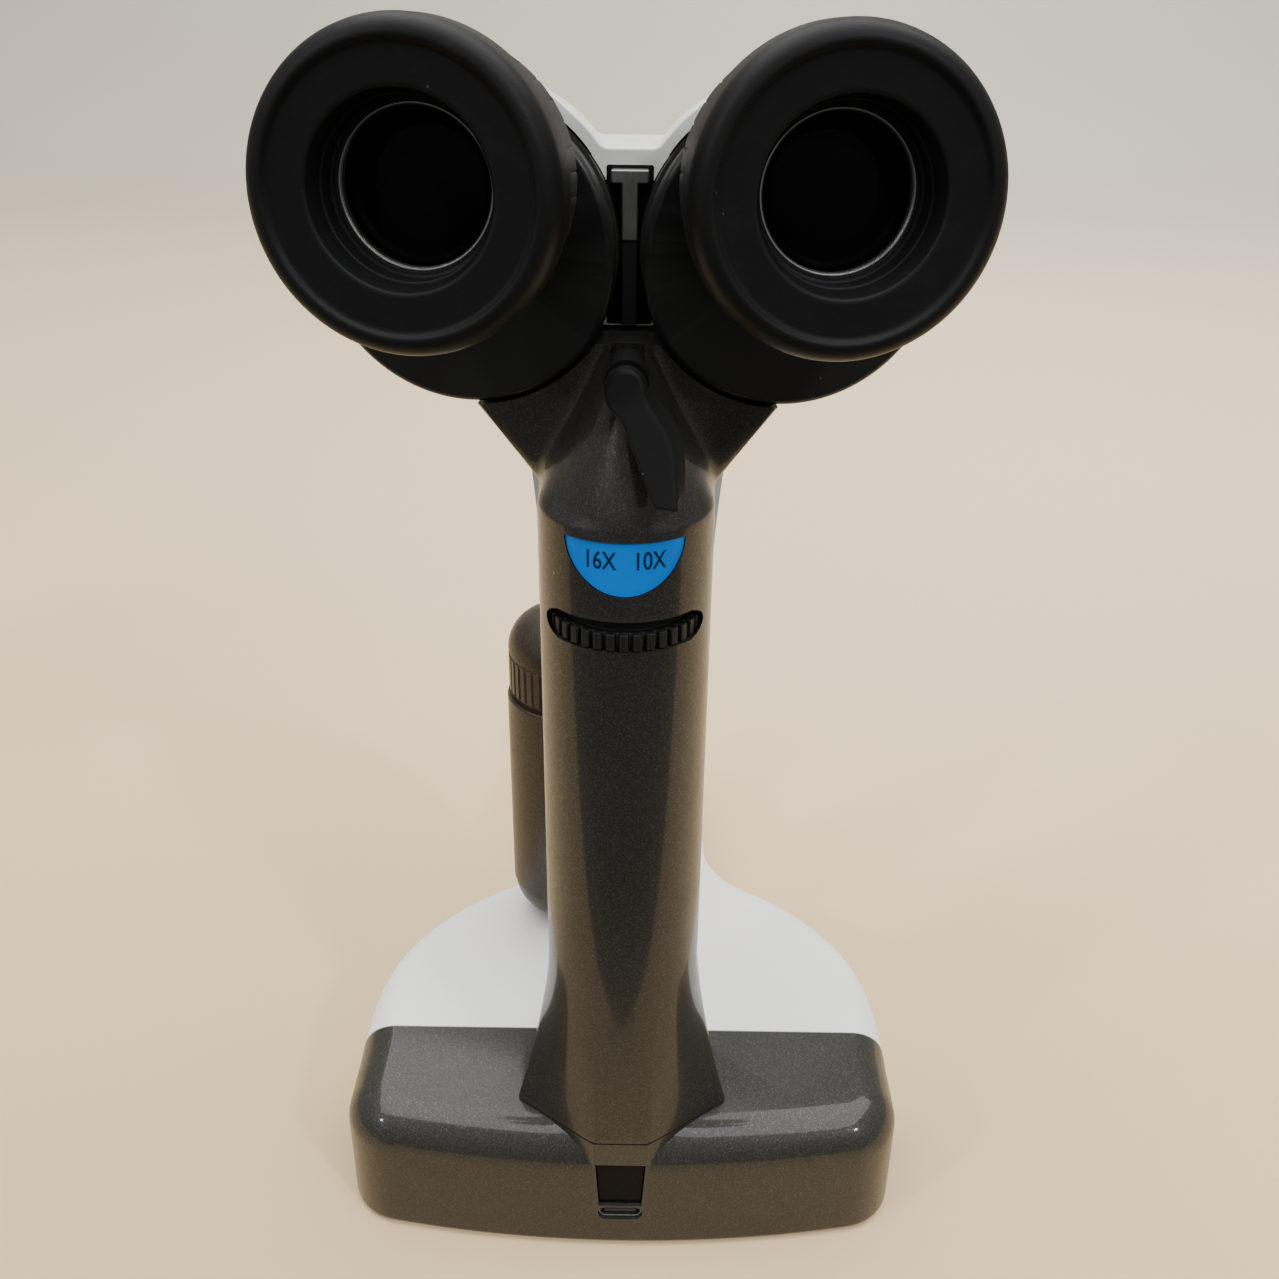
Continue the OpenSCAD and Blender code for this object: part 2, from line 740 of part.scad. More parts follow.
module shell_screws() {
    color([0.6, 0.6, 0.62]) for (y = arm_screws) translate([0, y, 0]) {
        translate([0, 0, arm_bottom + fit]) cylinder(r = screw_head_r, h = screw_head_h);
        translate([0, 0, arm_bottom + screw_head_h]) cylinder(r = screw_r, h = arm_screw_len);
    }
}

module foot_block() {
    color([0.07, 0.07, 0.07]) difference() {
        union() {
            box([-arm_w / 2, plug_rear, arm_bottom], [arm_w / 2, part_y - fit / 2, skirt_z - fit]);
            translate([0, 0, skirt_z - fit]) linear_extrude(7) rear_plan(wall + fit);
        }
        for (s = [-1, 1]) translate([s * contact_gap / 2, handle_y, arm_bottom - 1])
            cylinder(r = foot_contact_r + fit, h = 2);
    }
}

module foot_contacts() {
    color([0.85, 0.65, 0.3]) for (s = [-1, 1]) translate([s * contact_gap / 2, handle_y, arm_bottom])
        cylinder(r = foot_contact_r, h = foot_contact_t);
}

module battery() {
    color([0.1, 0.35, 0.65]) translate([0, handle_y + 1.4, wheel_low - battery_len - 12])
        cylinder(r = battery_r, h = battery_len);
}

module main_board() {
    color([0.05, 0.3, 0.15]) box([-board_x, front_c + board_back, skirt_z + board_foot],
        [board_x, front_c + board_back + 1.2, wheel_low - board_head]);
}

module dimmer_pot() {
    color([0.1, 0.1, 0.4]) difference() {
        box([-5, wheel_y - 5, wheel_low - 6.4], [5, wheel_y + 5, wheel_low - 1]);
        translate([0, wheel_y, 0]) cylinder(r = 1.5 + run, h = far);
    }
}

module dimmer_wheel() {
    color([0.05, 0.05, 0.05]) {
        translate([0, wheel_y, wheel_low]) linear_extrude(wheel_t) difference() {
            circle(r = wheel_r);
            for (i = [0:wheel_ribs - 1]) rotate(i * 360 / wheel_ribs)
                translate([wheel_r - 0.7, -0.5]) square([2, 1]);
        }
        translate([0, wheel_y, wheel_low - 5.4]) cylinder(r = 1.5, h = wheel_t + 8);
    }
}

module optics_chassis() {
    color([0.7, 0.7, 0.72]) difference() {
        along_y(chassis_y, chassis_y + chassis_t) intersection() {
            head_outline(wall + fit);
            translate([-far, drum_z - spigot_r]) square([2 * far, spigot_r + 15]);
        }
        for (s = [-1, 1]) translate([s * axis_x(chassis_y), 0, axis_z(chassis_y)]) rotate([-90, 0, 0])
            cylinder(r = 8, h = far);
        translate([0, 0, lever_z]) rotate([-90, 0, 0]) cylinder(r = shaft_r + run, h = far);
    }
}

module carriage_rails() {
    color([0.75, 0.75, 0.78]) for (s = [-1, 1]) translate([-rail_x, carriage_y + carriage_t / 2,
        axis_z(carriage_y) + s * rail_off]) rotate([0, 90, 0]) cylinder(r = 1.2, h = 2 * rail_x);
}

module lens_carriage() {
    z = axis_z(carriage_y);
    x = axis_x(carriage_y);
    half = x + carriage_travel / 2 + power_lens_r + 1.2;
    color([0.08, 0.08, 0.08]) difference() {
        along_y(carriage_y, carriage_y + carriage_t) translate([carriage_mid_x - half, z - power_lens_r - 2])
            square([2 * half, 2 * power_lens_r + 4]);
        for (s = [-1, 1], t = [-1, 1])
            translate([carriage_mid_x + s * x + t * carriage_travel / 2, 0, z]) rotate([-90, 0, 0])
                cylinder(r = power_lens_r + run, h = far);
        box([carriage_mid_x - 1.7, 0, z - power_lens_r - 3], [carriage_mid_x + 1.7, far, z + 3]);
    }
}

module carriage_lenses() {
    x = axis_x(carriage_y);
    color([0.7, 0.85, 0.9]) for (s = [-1, 1], t = [-1, 1])
        translate([carriage_mid_x + s * x + t * carriage_travel / 2, carriage_y + 0.6, axis_z(carriage_y)])
            rotate([-90, 0, 0]) cylinder(r = power_lens_r, h = carriage_t - 1.2);
}

// Turns a piece about the lever's pivot to the 10X stop
module at_stop() {
    translate([0, 0, lever_z]) rotate([0, -lever_angle, 0]) children();
}

module mag_lever() {
    color([0.04, 0.04, 0.04]) difference() {
        at_stop() hull() {
            translate([0, lever_y, 0]) rotate([90, 0, 0]) cylinder(r = lever_hub_r, h = lever_t, $fn = hull_fn);
            translate([0, lever_tip_y, -lever_len + lever_w / 2]) rotate([90, 0, 0])
                cylinder(r = lever_w / 2, h = lever_t, $fn = hull_fn);
        }
        translate([0, lever_y - 1.6, lever_z]) rotate([-90, 0, 0]) cylinder(r = shaft_r, h = far);
    }
}

module mag_shaft() {
    color([0.7, 0.7, 0.72]) {
        translate([0, lever_y - 1.6, lever_z]) rotate([-90, 0, 0])
            cylinder(r = shaft_r, h = crank_y + crank_t - lever_y + 1.6);
        at_stop() {
            box([-2.4, crank_y, 0], [2.4, crank_y + crank_t, crank_r + 2.4]);
            translate([0, crank_y, crank_r]) rotate([-90, 0, 0]) cylinder(r = 1.3, h = crank_t + 3.4);
        }
    }
}

module lever_bush() {
    color([0.8, 0.6, 0.3]) translate([0, ridge_top_y + 0.5, lever_z]) rotate([-90, 0, 0])
        tube(shaft_r + 1.5, shaft_r + run, 7);
}

module objective_ring(side) {
    color([0.05, 0.05, 0.05]) translate([side * axis_x(objective_y), objective_y, axis_z(objective_y)])
        rotate([-90, 0, 0]) difference() {
            cylinder(r = objective_r, h = objective_len);
            translate([0, 0, -1]) cylinder(r = objective_r - 3, h = 20);
            translate([0, 0, 2]) cylinder(r = objective_r - 1.5, h = 20);
        }
}

module objective_ring_left() {
    objective_ring(-1);
}

module objective_ring_right() {
    objective_ring(1);
}

module objective_lenses() {
    color([0.7, 0.85, 0.9]) for (s = [-1, 1])
        translate([s * axis_x(objective_y), objective_y + 2.2, axis_z(objective_y)])
            rotate([-90, 0, 0]) cylinder(r = objective_r - 1.6, h = 3);
}

// T-shaped bracket between the prism housings, larger by g, back to y = from
module bracket_shape(g, from) {
    along_y(from, head_rear - fit + g) {
        translate([-1.3 - g, drum_z - 14 - g]) square([2.6 + 2 * g, 23 + 2 * g]);
        translate([-3 - g, drum_z + 8.2 - g]) square([6 + 2 * g, 2.1 + 2 * g]);
    }
}

module bridge_bracket() {
    color([0.55, 0.54, 0.52]) bracket_shape(0, head_rear - bracket_t);
}

module prism_housing(side) {
    rim = [[drum_r - drum_taper, drum_front + 0.5], [drum_r, -0.2], [drum_r - 0.4, 0.65], [drum_r - 1.2, 1]];
    color([0.05, 0.05, 0.05]) on_drum(side) difference() {
        union() {
            intersection() {
                rotate_extrude() polygon(concat([[0, drum_front], [drum_r - drum_taper - 0.5, drum_front]],
                    rim, [[0, 1]]));
                translate([side * trim_x, -trim_z, 0]) rotate_extrude() polygon(concat([[0, drum_front - 1],
                    [drum_r - drum_taper, drum_front - 1]], rim, [[drum_r - 1.2, 2], [0, 2]]));
            }
            translate([0, 0, spigot_end]) cylinder(r = spigot_r, h = 10);
        }
        translate([0, 0, collar_front - 4]) cylinder(r = spigot_r - 2, h = -collar_front + 3.4);
        translate([0, eye_offset - 0.5, -2]) cylinder(r = 9, h = 6);
    }
}

module prism_housing_left() {
    prism_housing(-1);
}

module prism_housing_right() {
    prism_housing(1);
}

module prism(side) {
    half = 6.5;
    color([0.75, 0.88, 0.9]) on_drum(side) translate([-half, 0, -0.8]) rotate([0, 90, 0])
        linear_extrude(2 * half) polygon([[0, eye_offset - half], [0, eye_offset + half],
            [collar_rear - drum_front + 11, half - 0.6], [collar_rear - drum_front + 11, -half]]);
}

module prism_left() {
    prism(-1);
}

module prism_right() {
    prism(1);
}

module eye_tube(side) {
    color([0.05, 0.05, 0.05]) on_eye(side) translate([0, 0, 1]) tube(eye_tube_r, eye_tube_r - 3, tube_len);
}

module eye_tube_left() {
    eye_tube(-1);
}

module eye_tube_right() {
    eye_tube(1);
}

module dioptre_ring(side) {
    color([0.06, 0.06, 0.06]) on_eye(side) difference() {
        union() {
            translate([0, 0, ring_z]) linear_extrude(ring_h) difference() {
                circle(r = dioptre_r);
                for (i = [0:35]) rotate(i * 10) translate([dioptre_r - 0.5, -0.7]) square([2, 1.4]);
            }
            translate([0, 0, ring_z + ring_h - 0.1]) cylinder(r = neck_r, h = cup_seat_z - ring_z - ring_h);
        }
        cylinder(r = eye_tube_r + run, h = 1 + tube_len + play);
        cylinder(r = eye_lens_r - 0.8, h = 40);
        translate([0, 0, lens_z]) cylinder(r = eye_lens_r + run, h = 10);
    }
}

module dioptre_ring_left() {
    dioptre_ring(-1);
}

module dioptre_ring_right() {
    dioptre_ring(1);
}

module eyecup(side) {
    z0 = ring_z + ring_h + fit;
    z1 = z0 + eyecup_len - fit;
    color([0.05, 0.05, 0.05]) on_eye(side) rotate_extrude() polygon([
        [neck_r + run, z0], [eyecup_r - 1.5, z0], [eyecup_r - 1.5, z0 + 4.4],
        [eyecup_r - 2, z0 + 4.8], [eyecup_r - 2, z0 + 5.6], [eyecup_r - 0.5, z0 + 6.2],
        [eyecup_r, z0 + 7.4], [eyecup_r, z1 - 3], [eyecup_r - 0.4, z1 - 1.4], [eyecup_r - 1.4, z1 - 0.3],
        [eyecup_r - 2.6, z1], [eyecup_r - 3.4, z1 - 0.5], [eyecup_hole_r + 0.6, z1 - 0.9],
        [eyecup_hole_r, z1 - 1.4], [eye_lens_r + 0.4, cup_seat_z], [neck_r + run, cup_seat_z]]);
}

module eyecup_left() {
    eyecup(-1);
}

module eyecup_right() {
    eyecup(1);
}

module eye_lens(side) {
    color([0.3, 0.35, 0.4]) on_eye(side) translate([0, 0, lens_z + fit]) cylinder(r = eye_lens_r, h = 3);
}

module eye_lens_left() {
    eye_lens(-1);
}

module eye_lens_right() {
    eye_lens(1);
}

module pivot_bush() {
    color([0.8, 0.6, 0.3]) translate([0, pivot_y, arm_bottom + 1])
        tube(pivot_r + bush_wall, pivot_r + run, arm_top - arm_bottom - 1);
}

module pivot_pin() {
    color([0.7, 0.7, 0.72]) translate([0, pivot_y, arm_bottom + 1])
        cylinder(r = pivot_r, h = hub_z + hub_h - 2 - arm_bottom - 1);
}

module swing_arm() {
    color([0.27, 0.26, 0.24]) difference() {
        union() {
            translate([0, pivot_y, hub_z]) cylinder(r = boss_r - 1, h = hub_h);
            on_tower() translate([-7, 0, swing_bar_z]) cube([14, swing_r, 11]);
        }
        on_tower() cylinder(r = tower_r + eps, h = far);
        translate([0, pivot_y, 0]) cylinder(r = pivot_r, h = hub_z + hub_h - 2);
    }
}

module tower_tube() {
    color([0.27, 0.26, 0.24]) on_tower() translate([0, 0, tower_z + 9]) difference() {
        union() {
            cylinder(r = tower_r, h = tower_len - 9);
            cylinder(r = tower_r - 1.2, h = tower_len - 9 + 1.3);
        }
        translate([0, 0, -1]) cylinder(r = tower_r - 3, h = tower_len + 10);
    }
}

module tower_cap() {
    color([0.27, 0.26, 0.24]) on_tower() translate([0, 0, tower_z]) rotate_extrude() union() {
        translate([tower_r - 0.3 - 8.7, 8.7]) intersection() {
            circle(r = 8.7);
            translate([0, -8.7]) square([8.7, 8.9]);
        }
        square([tower_r - 0.3 - 8.7, 8.9]);
        translate([0, 8.7]) square([tower_r - 3.1, 4]);
    }
}

module heat_sink() {
    color([0.75, 0.75, 0.77]) on_tower() translate([0, 0, heat_sink_z]) {
        cylinder(r = tower_r - 6, h = heat_sink_h);
        for (i = [0:4]) translate([0, 0, fin_pitch * i]) cylinder(r = tower_r - 3.1, h = fin_t);
    }
}

module lamp_led() {
    color([0.95, 0.9, 0.6]) on_tower() translate([0, 0, led_z]) {
        cylinder(r = 4, h = 1);
        cylinder(r = 1.6, h = 2.4);
    }
}

module condenser_lens() {
    color([0.8, 0.9, 0.92]) on_tower() translate([0, 0, condenser_z])
        cylinder(r = tower_r - 3.05, h = condenser_t);
}

module slit_dial() {
    color([0.1, 0.1, 0.1]) on_tower() difference() {
        union() {
            translate([0, 0, dial_z]) linear_extrude(dial_h * 0.55) difference() {
                circle(r = dial_r);
                for (i = [0:dial_ribs - 1]) rotate(i * 360 / dial_ribs)
                    translate([dial_r - 0.4, -0.4]) square([2, 0.8]);
            }
            translate([0, 0, dial_z + dial_h * 0.55]) rotate_extrude() union() {
                translate([dial_r - dial_h * 0.45, 0]) intersection() {
                    circle(r = dial_h * 0.45);
                    square(dial_h * 0.45);
                }
                square([dial_r - dial_h * 0.45, dial_h * 0.45]);
            }
        }
        cylinder(r = dial_r - 3, h = dial_z + 5);
        cylinder(r = upper_r + run, h = far);
    }
}

module slit_disc() {
    color([0.15, 0.15, 0.16]) on_tower() translate([0, 0, dial_z + 1]) difference() {
        cylinder(r = dial_r - 3 - eps, h = 1);
        for (i = [0:3]) rotate(i * 90) translate([6, 0, -1]) translate([-1.6, -0.2 - 0.2 * i, 0])
            cube([3.2, 0.4 + 0.4 * i, 3]);
    }
}

module upper_tube() {
    color([0.27, 0.26, 0.24]) on_tower() translate([0, 0, dial_z + upper_foot])
        tube(upper_r, upper_r - upper_wall, head_mount_z + 2 - dial_z - upper_foot);
}

module mirror_head() {
    color([0.08, 0.08, 0.08]) on_tower() difference() {
        translate([0, 0, head_mount_z]) cylinder(r = mirror_head_r, h = mirror_head_h);
        translate([0, 0, head_mount_z - 1]) cylinder(r = upper_r, h = 3);
        translate([0, 0, head_mount_z - 1]) cylinder(r = upper_r - upper_wall, h = mirror_head_h - 10);
        box([-mirror_window_x, -upper_r, mirror_z - mirror_window_h],
            [mirror_window_x, far, mirror_z + mirror_window_h]);
    }
}

module mirror() {
    color([0.85, 0.87, 0.9]) on_tower() translate([0, 0, mirror_z]) rotate([45, 0, 0])
        box([-mirror_window_x + 0.2, -mirror_len, -0.6], [mirror_window_x - 0.2, mirror_len, 0.6]);
}

stand_rear_shell();
stand_front_shell();
stand_bottom_plate();
base_pad();
stand_ballast();
stand_board();
charge_inlet();
charge_window();
contact_block();
stand_screws();
spring_pins();
rear_shell();
head_shell();
front_shell();
arm_cover();
foot_block();
foot_contacts();
battery();
main_board();
scale_label();
dimmer_pot();
optics_chassis();
carriage_rails();
objective_ring_left();
objective_ring_right();
objective_lenses();
bridge_bracket();
lever_bush();
pivot_bush();
shell_screws();
mag_lever();
mag_shaft();
lens_carriage();
carriage_lenses();
dimmer_wheel();
prism_housing_left();
prism_housing_right();
prism_left();
prism_right();
eye_tube_left();
eye_tube_right();
dioptre_ring_left();
dioptre_ring_right();
eyecup_left();
eyecup_right();
eye_lens_left();
eye_lens_right();
swing_arm();
pivot_pin();
tower_tube();
tower_cap();
heat_sink();
lamp_led();
condenser_lens();
slit_dial();
slit_disc();
upper_tube();
mirror_head();
mirror();
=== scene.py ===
# Handheld slit lamp in its charging stand: the looks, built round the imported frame.
# Shapes are drawn in millimetres and scaled to metres when a piece is kept.
from math import asin, atan2, cos, degrees, exp, hypot, pi, radians, sin, sqrt, tan
import bpy
import bmesh
from mathutils import Matrix, Vector


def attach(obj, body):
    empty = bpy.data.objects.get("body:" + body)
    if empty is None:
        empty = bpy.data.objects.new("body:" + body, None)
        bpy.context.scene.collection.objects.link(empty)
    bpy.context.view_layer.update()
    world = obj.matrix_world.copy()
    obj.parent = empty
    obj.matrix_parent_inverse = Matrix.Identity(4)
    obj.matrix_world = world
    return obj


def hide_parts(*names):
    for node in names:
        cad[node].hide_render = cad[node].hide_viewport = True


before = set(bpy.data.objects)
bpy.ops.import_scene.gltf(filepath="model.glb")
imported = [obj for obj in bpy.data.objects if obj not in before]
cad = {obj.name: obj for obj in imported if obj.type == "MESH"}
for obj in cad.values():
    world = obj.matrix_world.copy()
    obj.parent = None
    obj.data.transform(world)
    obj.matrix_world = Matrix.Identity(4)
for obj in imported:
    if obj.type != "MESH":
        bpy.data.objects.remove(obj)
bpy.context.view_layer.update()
scene = bpy.context.scene
print("frame loaded,", len(cad), "nodes")

# The camera stands at the operator's side, above the eyepieces
cameraSettings = {"place": (3.23, -221.31, 241.79), "down": 27.52, "yaw": -0.22, "roll": 0.73,
                  "focal": 1323.57, "frameWidth": 1279, "sensor": 36.0}

# Shared places, as the frame has them
lamp = {"drumX": 25.5, "drumY": -9.4, "drumZ": 201.1, "diverge": 8.5, "incline": 3.5, "eyeOffset": 10.0,
        "handleY": -18.0, "handleRadius": 14.6, "seamY": -8.0, "pivotY": 122.0, "leverZ": 182.5,
        "leverAngle": 23.0, "towerX": -13.892, "towerY": 43.215, "swingRest": 10.0, "trimX": 1.5, "trimZ": 2.3,
        "collarTrim": 0.75}


def onDrum(side):
    turn = Matrix.Rotation(radians(side * lamp["diverge"]), 4, "Z")
    turn = turn @ Matrix.Rotation(radians(-lamp["incline"]), 4, "X") @ Matrix.Rotation(radians(90), 4, "X")
    return Matrix.Translation((side * lamp["drumX"], lamp["drumY"], lamp["drumZ"])) @ turn


def trimOnDrum(side, share=1.0):
    # the second circle that trims a prism housing at its inner side and its top
    return onDrum(side) @ Matrix.Translation((side * lamp["trimX"] * share, -lamp["trimZ"] * share, 0))


def onEye(side):
    return onDrum(side) @ Matrix.Translation((0, lamp["eyeOffset"], 0))


def onTower():
    turn = Matrix.Rotation(radians(-lamp["swingRest"]), 4, "Z")
    return Matrix.Translation((lamp["towerX"], lamp["towerY"], 0)) @ turn


def alongOptics(side, y):
    ahead = y - lamp["drumY"]
    x = lamp["drumX"] - ahead * tan(radians(lamp["diverge"]))
    z = lamp["drumZ"] - ahead * tan(radians(lamp["incline"])) / cos(radians(lamp["diverge"]))
    return Matrix.Translation((side * x, y, z)) @ Matrix.Rotation(radians(-90), 4, "X")


# Mesh tools

meshGap = 1e-4


def tidyShape(bm):
    bmesh.ops.remove_doubles(bm, verts=bm.verts, dist=meshGap)
    bmesh.ops.dissolve_degenerate(bm, edges=bm.edges, dist=meshGap)
    bmesh.ops.recalc_face_normals(bm, faces=bm.faces)


def bevelEdges(bm, edges, width, segments=3):
    edges = [e for e in edges if e.is_valid and len(e.link_faces) == 2]
    bmesh.ops.bevel(bm, geom=edges, offset=width, offset_type="OFFSET", segments=segments, profile=0.5,
                    affect="EDGES", material=-1, clamp_overlap=True)


def lathe(profile, steps=96, place=None, closed=True):
    # profile: (radius, height) or (radius, height, bevel) points, from inside to outside
    bm = bmesh.new()
    points = [bm.verts.new((p[0], 0, p[1])) for p in profile]
    edges = [bm.edges.new(pair) for pair in zip(points, points[1:])]
    if closed:
        edges.append(bm.edges.new((points[-1], points[0])))
    bmesh.ops.spin(bm, geom=points + edges, cent=(0, 0, 0), axis=(0, 0, 1), dvec=(0, 0, 0), angle=2 * pi,
                   steps=steps, use_merge=True, use_normal_flip=False, use_duplicate=False)
    tidyShape(bm)
    for radius, height, width in [p for p in profile if len(p) > 2 and p[2] > 0]:
        ring = [e for e in bm.edges if all(abs(hypot(v.co.x, v.co.y) - radius) < 0.003
                                           and abs(v.co.z - height) < 1e-3 for v in e.verts)]
        bevelEdges(bm, ring, width)
    if place is not None:
        bm.transform(place)
    return bm


def loft(rings, capEnds=True, closedRings=True):
    # rings: lists of points, all of one length, from the first section to the last
    bm = bmesh.new()
    loops = []
    for ring in rings:
        verts = [bm.verts.new(p) for p in ring]
        pairs = zip(verts, verts[1:] + verts[:1]) if closedRings else zip(verts, verts[1:])
        loops.append([bm.edges.new(pair) for pair in pairs])
    for loop in (loops[0], loops[-1]) if capEnds else ():
        bmesh.ops.contextual_create(bm, geom=loop)
    for low, high in zip(loops, loops[1:]):
        bmesh.ops.bridge_loops(bm, edges=low + high)
    bmesh.ops.recalc_face_normals(bm, faces=bm.faces)
    return bm


def outlinePlate(points, low, high, axis="Z"):
    # a flat outline raised from low to high, along Z, or along Y with the outline in X and Z
    bm = bmesh.new()
    verts = [bm.verts.new((p[0], p[1], low) if axis == "Z" else (p[0], low, p[1])) for p in points]
    face = bm.faces.new(verts)
    raised = bmesh.ops.extrude_face_region(bm, geom=[face])
    moved = [v for v in raised["geom"] if isinstance(v, bmesh.types.BMVert)]
    bmesh.ops.translate(bm, verts=moved, vec=(0, 0, high - low) if axis == "Z" else (0, high - low, 0))
    bmesh.ops.recalc_face_normals(bm, faces=bm.faces)
    return bm


def arcPoints(x, y, radius, first, last, steps):
    angles = [radians(first + (last - first) * i / steps) for i in range(steps + 1)]
    return [(x + radius * cos(a), y + radius * sin(a)) for a in angles]


def block(low, high, bevel=0.0, place=None, segments=3):
    bm = bmesh.new()
    bmesh.ops.create_cube(bm, size=1)
    size = [b - a for a, b in zip(low, high)]
    bmesh.ops.scale(bm, vec=size, verts=bm.verts)
    bmesh.ops.translate(bm, verts=bm.verts, vec=[(a + b) / 2 for a, b in zip(low, high)])
    if bevel:
        bevelEdges(bm, bm.edges[:], bevel, segments)
    if place is not None:
        bm.transform(place)
    return bm


def cylinder(radius, low, high, place=None, steps=48):
    return lathe([(0, low), (radius, low), (radius, high), (0, high)], steps, place, closed=False)


def lensShape(radius, low, top, curve, points, steps, place):
    # flat below, domed above
    dome = [(radius * i / points, top + sqrt(curve ** 2 - (radius * i / points) ** 2) - curve)
            for i in range(points + 1)]
    return lathe([(0, low), (radius, low)] + dome[::-1], steps, place, closed=False)


def join(*shapes):
    whole = bmesh.new()
    for bm in shapes:
        mesh = bpy.data.meshes.new("joined")
        bm.to_mesh(mesh)
        whole.from_mesh(mesh)
        bpy.data.meshes.remove(mesh)
        bm.free()
    return whole


def dropIn(bm, name):
    mesh = bpy.data.meshes.new(name)
    bm.to_mesh(mesh)
    bm.free()
    obj = bpy.data.objects.new(name, mesh)
    scene.collection.objects.link(obj)
    return obj


def carve(bm, tools, operation="DIFFERENCE"):
    body = dropIn(bm, "carved")
    cutters = [dropIn(tool, "tool") for tool in tools]
    for cutter in cutters:
        cut = body.modifiers.new("cut", "BOOLEAN")
        cut.operation, cut.solver, cut.object = operation, "EXACT", cutter
    bpy.context.view_layer.update()
    mesh = bpy.data.meshes.new_from_object(body.evaluated_get(bpy.context.evaluated_depsgraph_get()))
    result = bmesh.new()
    result.from_mesh(mesh)
    for obj in [body] + cutters:
        data = obj.data
        bpy.data.objects.remove(obj)
        bpy.data.meshes.remove(data)
    bpy.data.meshes.remove(mesh)
    bmesh.ops.remove_doubles(result, verts=result.verts, dist=1e-3)
    return result


def keep(bm, name, body, material, replaced=(), crease=32, even=True, bevel=None):
    # scales a drawn shape to metres and makes it a piece of the model
    bmesh.ops.scale(bm, vec=(0.001, 0.001, 0.001), verts=bm.verts)
    for face in bm.faces:
        face.smooth = True
    for edge in bm.edges:
        if len(edge.link_faces) == 2:
            edge.smooth = edge.calc_face_angle(0) < radians(crease)
    piece = dropIn(bm, name)
    piece.data.materials.append(material)
    if bevel:
        edges = piece.modifiers.new("edges", "BEVEL")
        edges.width, edges.segments, edges.limit_method = bevel * 0.001, 3, "ANGLE"
        edges.angle_limit = radians(crease + 8)
        edges.harden_normals = False
    if even:
        piece.modifiers.new("evenNormals", "WEIGHTED_NORMAL").keep_sharp = True
    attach(piece, body)
    if replaced:
        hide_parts(*replaced)
    return piece


# Shader tools

class Value:
    # one socket of a node tree, with arithmetic that adds Math nodes
    def __init__(self, tree, socket):
        self.tree, self.socket = tree, socket

    def math(self, operation, other, swapped=False):
        node = self.tree.nodes.new("ShaderNodeMath")
        node.operation = operation
        values = (other, self) if swapped else (self, other)
        for slot, value in zip(node.inputs, values):
            if isinstance(value, Value):
                self.tree.links.new(value.socket, slot)
            else:
                slot.default_value = value
        return Value(self.tree, node.outputs[0])

    def __add__(self, other): return self.math("ADD", other)
    def __radd__(self, other): return self.math("ADD", other)
    def __sub__(self, other): return self.math("SUBTRACT", other)
    def __rsub__(self, other): return self.math("SUBTRACT", other, swapped=True)
    def __mul__(self, other): return self.math("MULTIPLY", other)
    def __rmul__(self, other): return self.math("MULTIPLY", other)
    def __truediv__(self, other): return self.math("DIVIDE", other)
    def __pow__(self, other): return self.math("POWER", other)
    def __gt__(self, other): return self.math("GREATER_THAN", other)
    def __lt__(self, other): return self.math("LESS_THAN", other)


class Finish:
    # a material whose Principled shader is filled in by name
    def __init__(self, name, **fixed):
        self.material = bpy.data.materials.new(name)
        self.material.use_nodes = True
        self.tree = self.material.node_tree
        self.shader = self.tree.nodes["Principled BSDF"]
        for socket, value in fixed.items():
            self.shader.inputs[socket.replace("_", " ")].default_value = value
        self.place = self.add("ShaderNodeTexCoord", output="Object")

    def add(self, kind, output=0, settings=None, **sockets):
        node = self.tree.nodes.new(kind)
        for key, value in (settings or {}).items():
            setattr(node, key, value)
        for key, value in sockets.items():
            slot = node.inputs[int(key[1:])] if key[0] == "_" else node.inputs[key.replace("_", " ")]
            if isinstance(value, Value):
                self.tree.links.new(value.socket, slot)
            else:
                slot.default_value = value
        return Value(self.tree, node.outputs[output])

    def noise(self, scale, detail=3.0, rough=0.5, stretch=None):
        where = self.stretched(stretch) if stretch else self.place
        return self.add("ShaderNodeTexNoise", Vector=where, Scale=scale, Detail=detail, Roughness=rough)

    def cells(self, scale, output="Distance", feature="F1", stretch=None):
        where = self.stretched(stretch) if stretch else self.place
        return self.add("ShaderNodeTexVoronoi", output, {"feature": feature}, Vector=where, Scale=scale)

    def stretched(self, factors):
        return self.add("ShaderNodeVectorMath", settings={"operation": "MULTIPLY"}, _0=self.place, _1=factors)

    def along(self, axis):
        return self.add("ShaderNodeSeparateXYZ", axis, Vector=self.place)

    def range(self, value, low, high, toLow=0.0, toHigh=1.0, smooth=True):
        kind = "SMOOTHSTEP" if smooth else "LINEAR"
        return self.add("ShaderNodeMapRange", settings={"interpolation_type": kind}, Value=value, From_Min=low,
                        From_Max=high, To_Min=toLow, To_Max=toHigh)

    def blend(self, factor, first, second, how="MIX"):
        node = self.tree.nodes.new("ShaderNodeMix")
        node.data_type, node.blend_type, node.clamp_factor = "RGBA", how, True
        for slot, value in zip((node.inputs[0], node.inputs[6], node.inputs[7]), (factor, first, second)):
            if isinstance(value, Value):
                self.tree.links.new(value.socket, slot)
            else:
                slot.default_value = value if isinstance(value, (int, float)) else tuple(value)[:3] + (1.0,)
        return Value(self.tree, node.outputs[2])

    def bump(self, height, distance, strength=1.0, under=None):
        sockets = {"Height": height, "Distance": distance, "Strength": strength}
        if under is not None:
            sockets["Normal"] = under
        return self.add("ShaderNodeBump", **sockets)

    def paint(self, **links):
        for name, value in links.items():
            self.tree.links.new(value.socket, self.shader.inputs[name.replace("_", " ")])
        return self.material


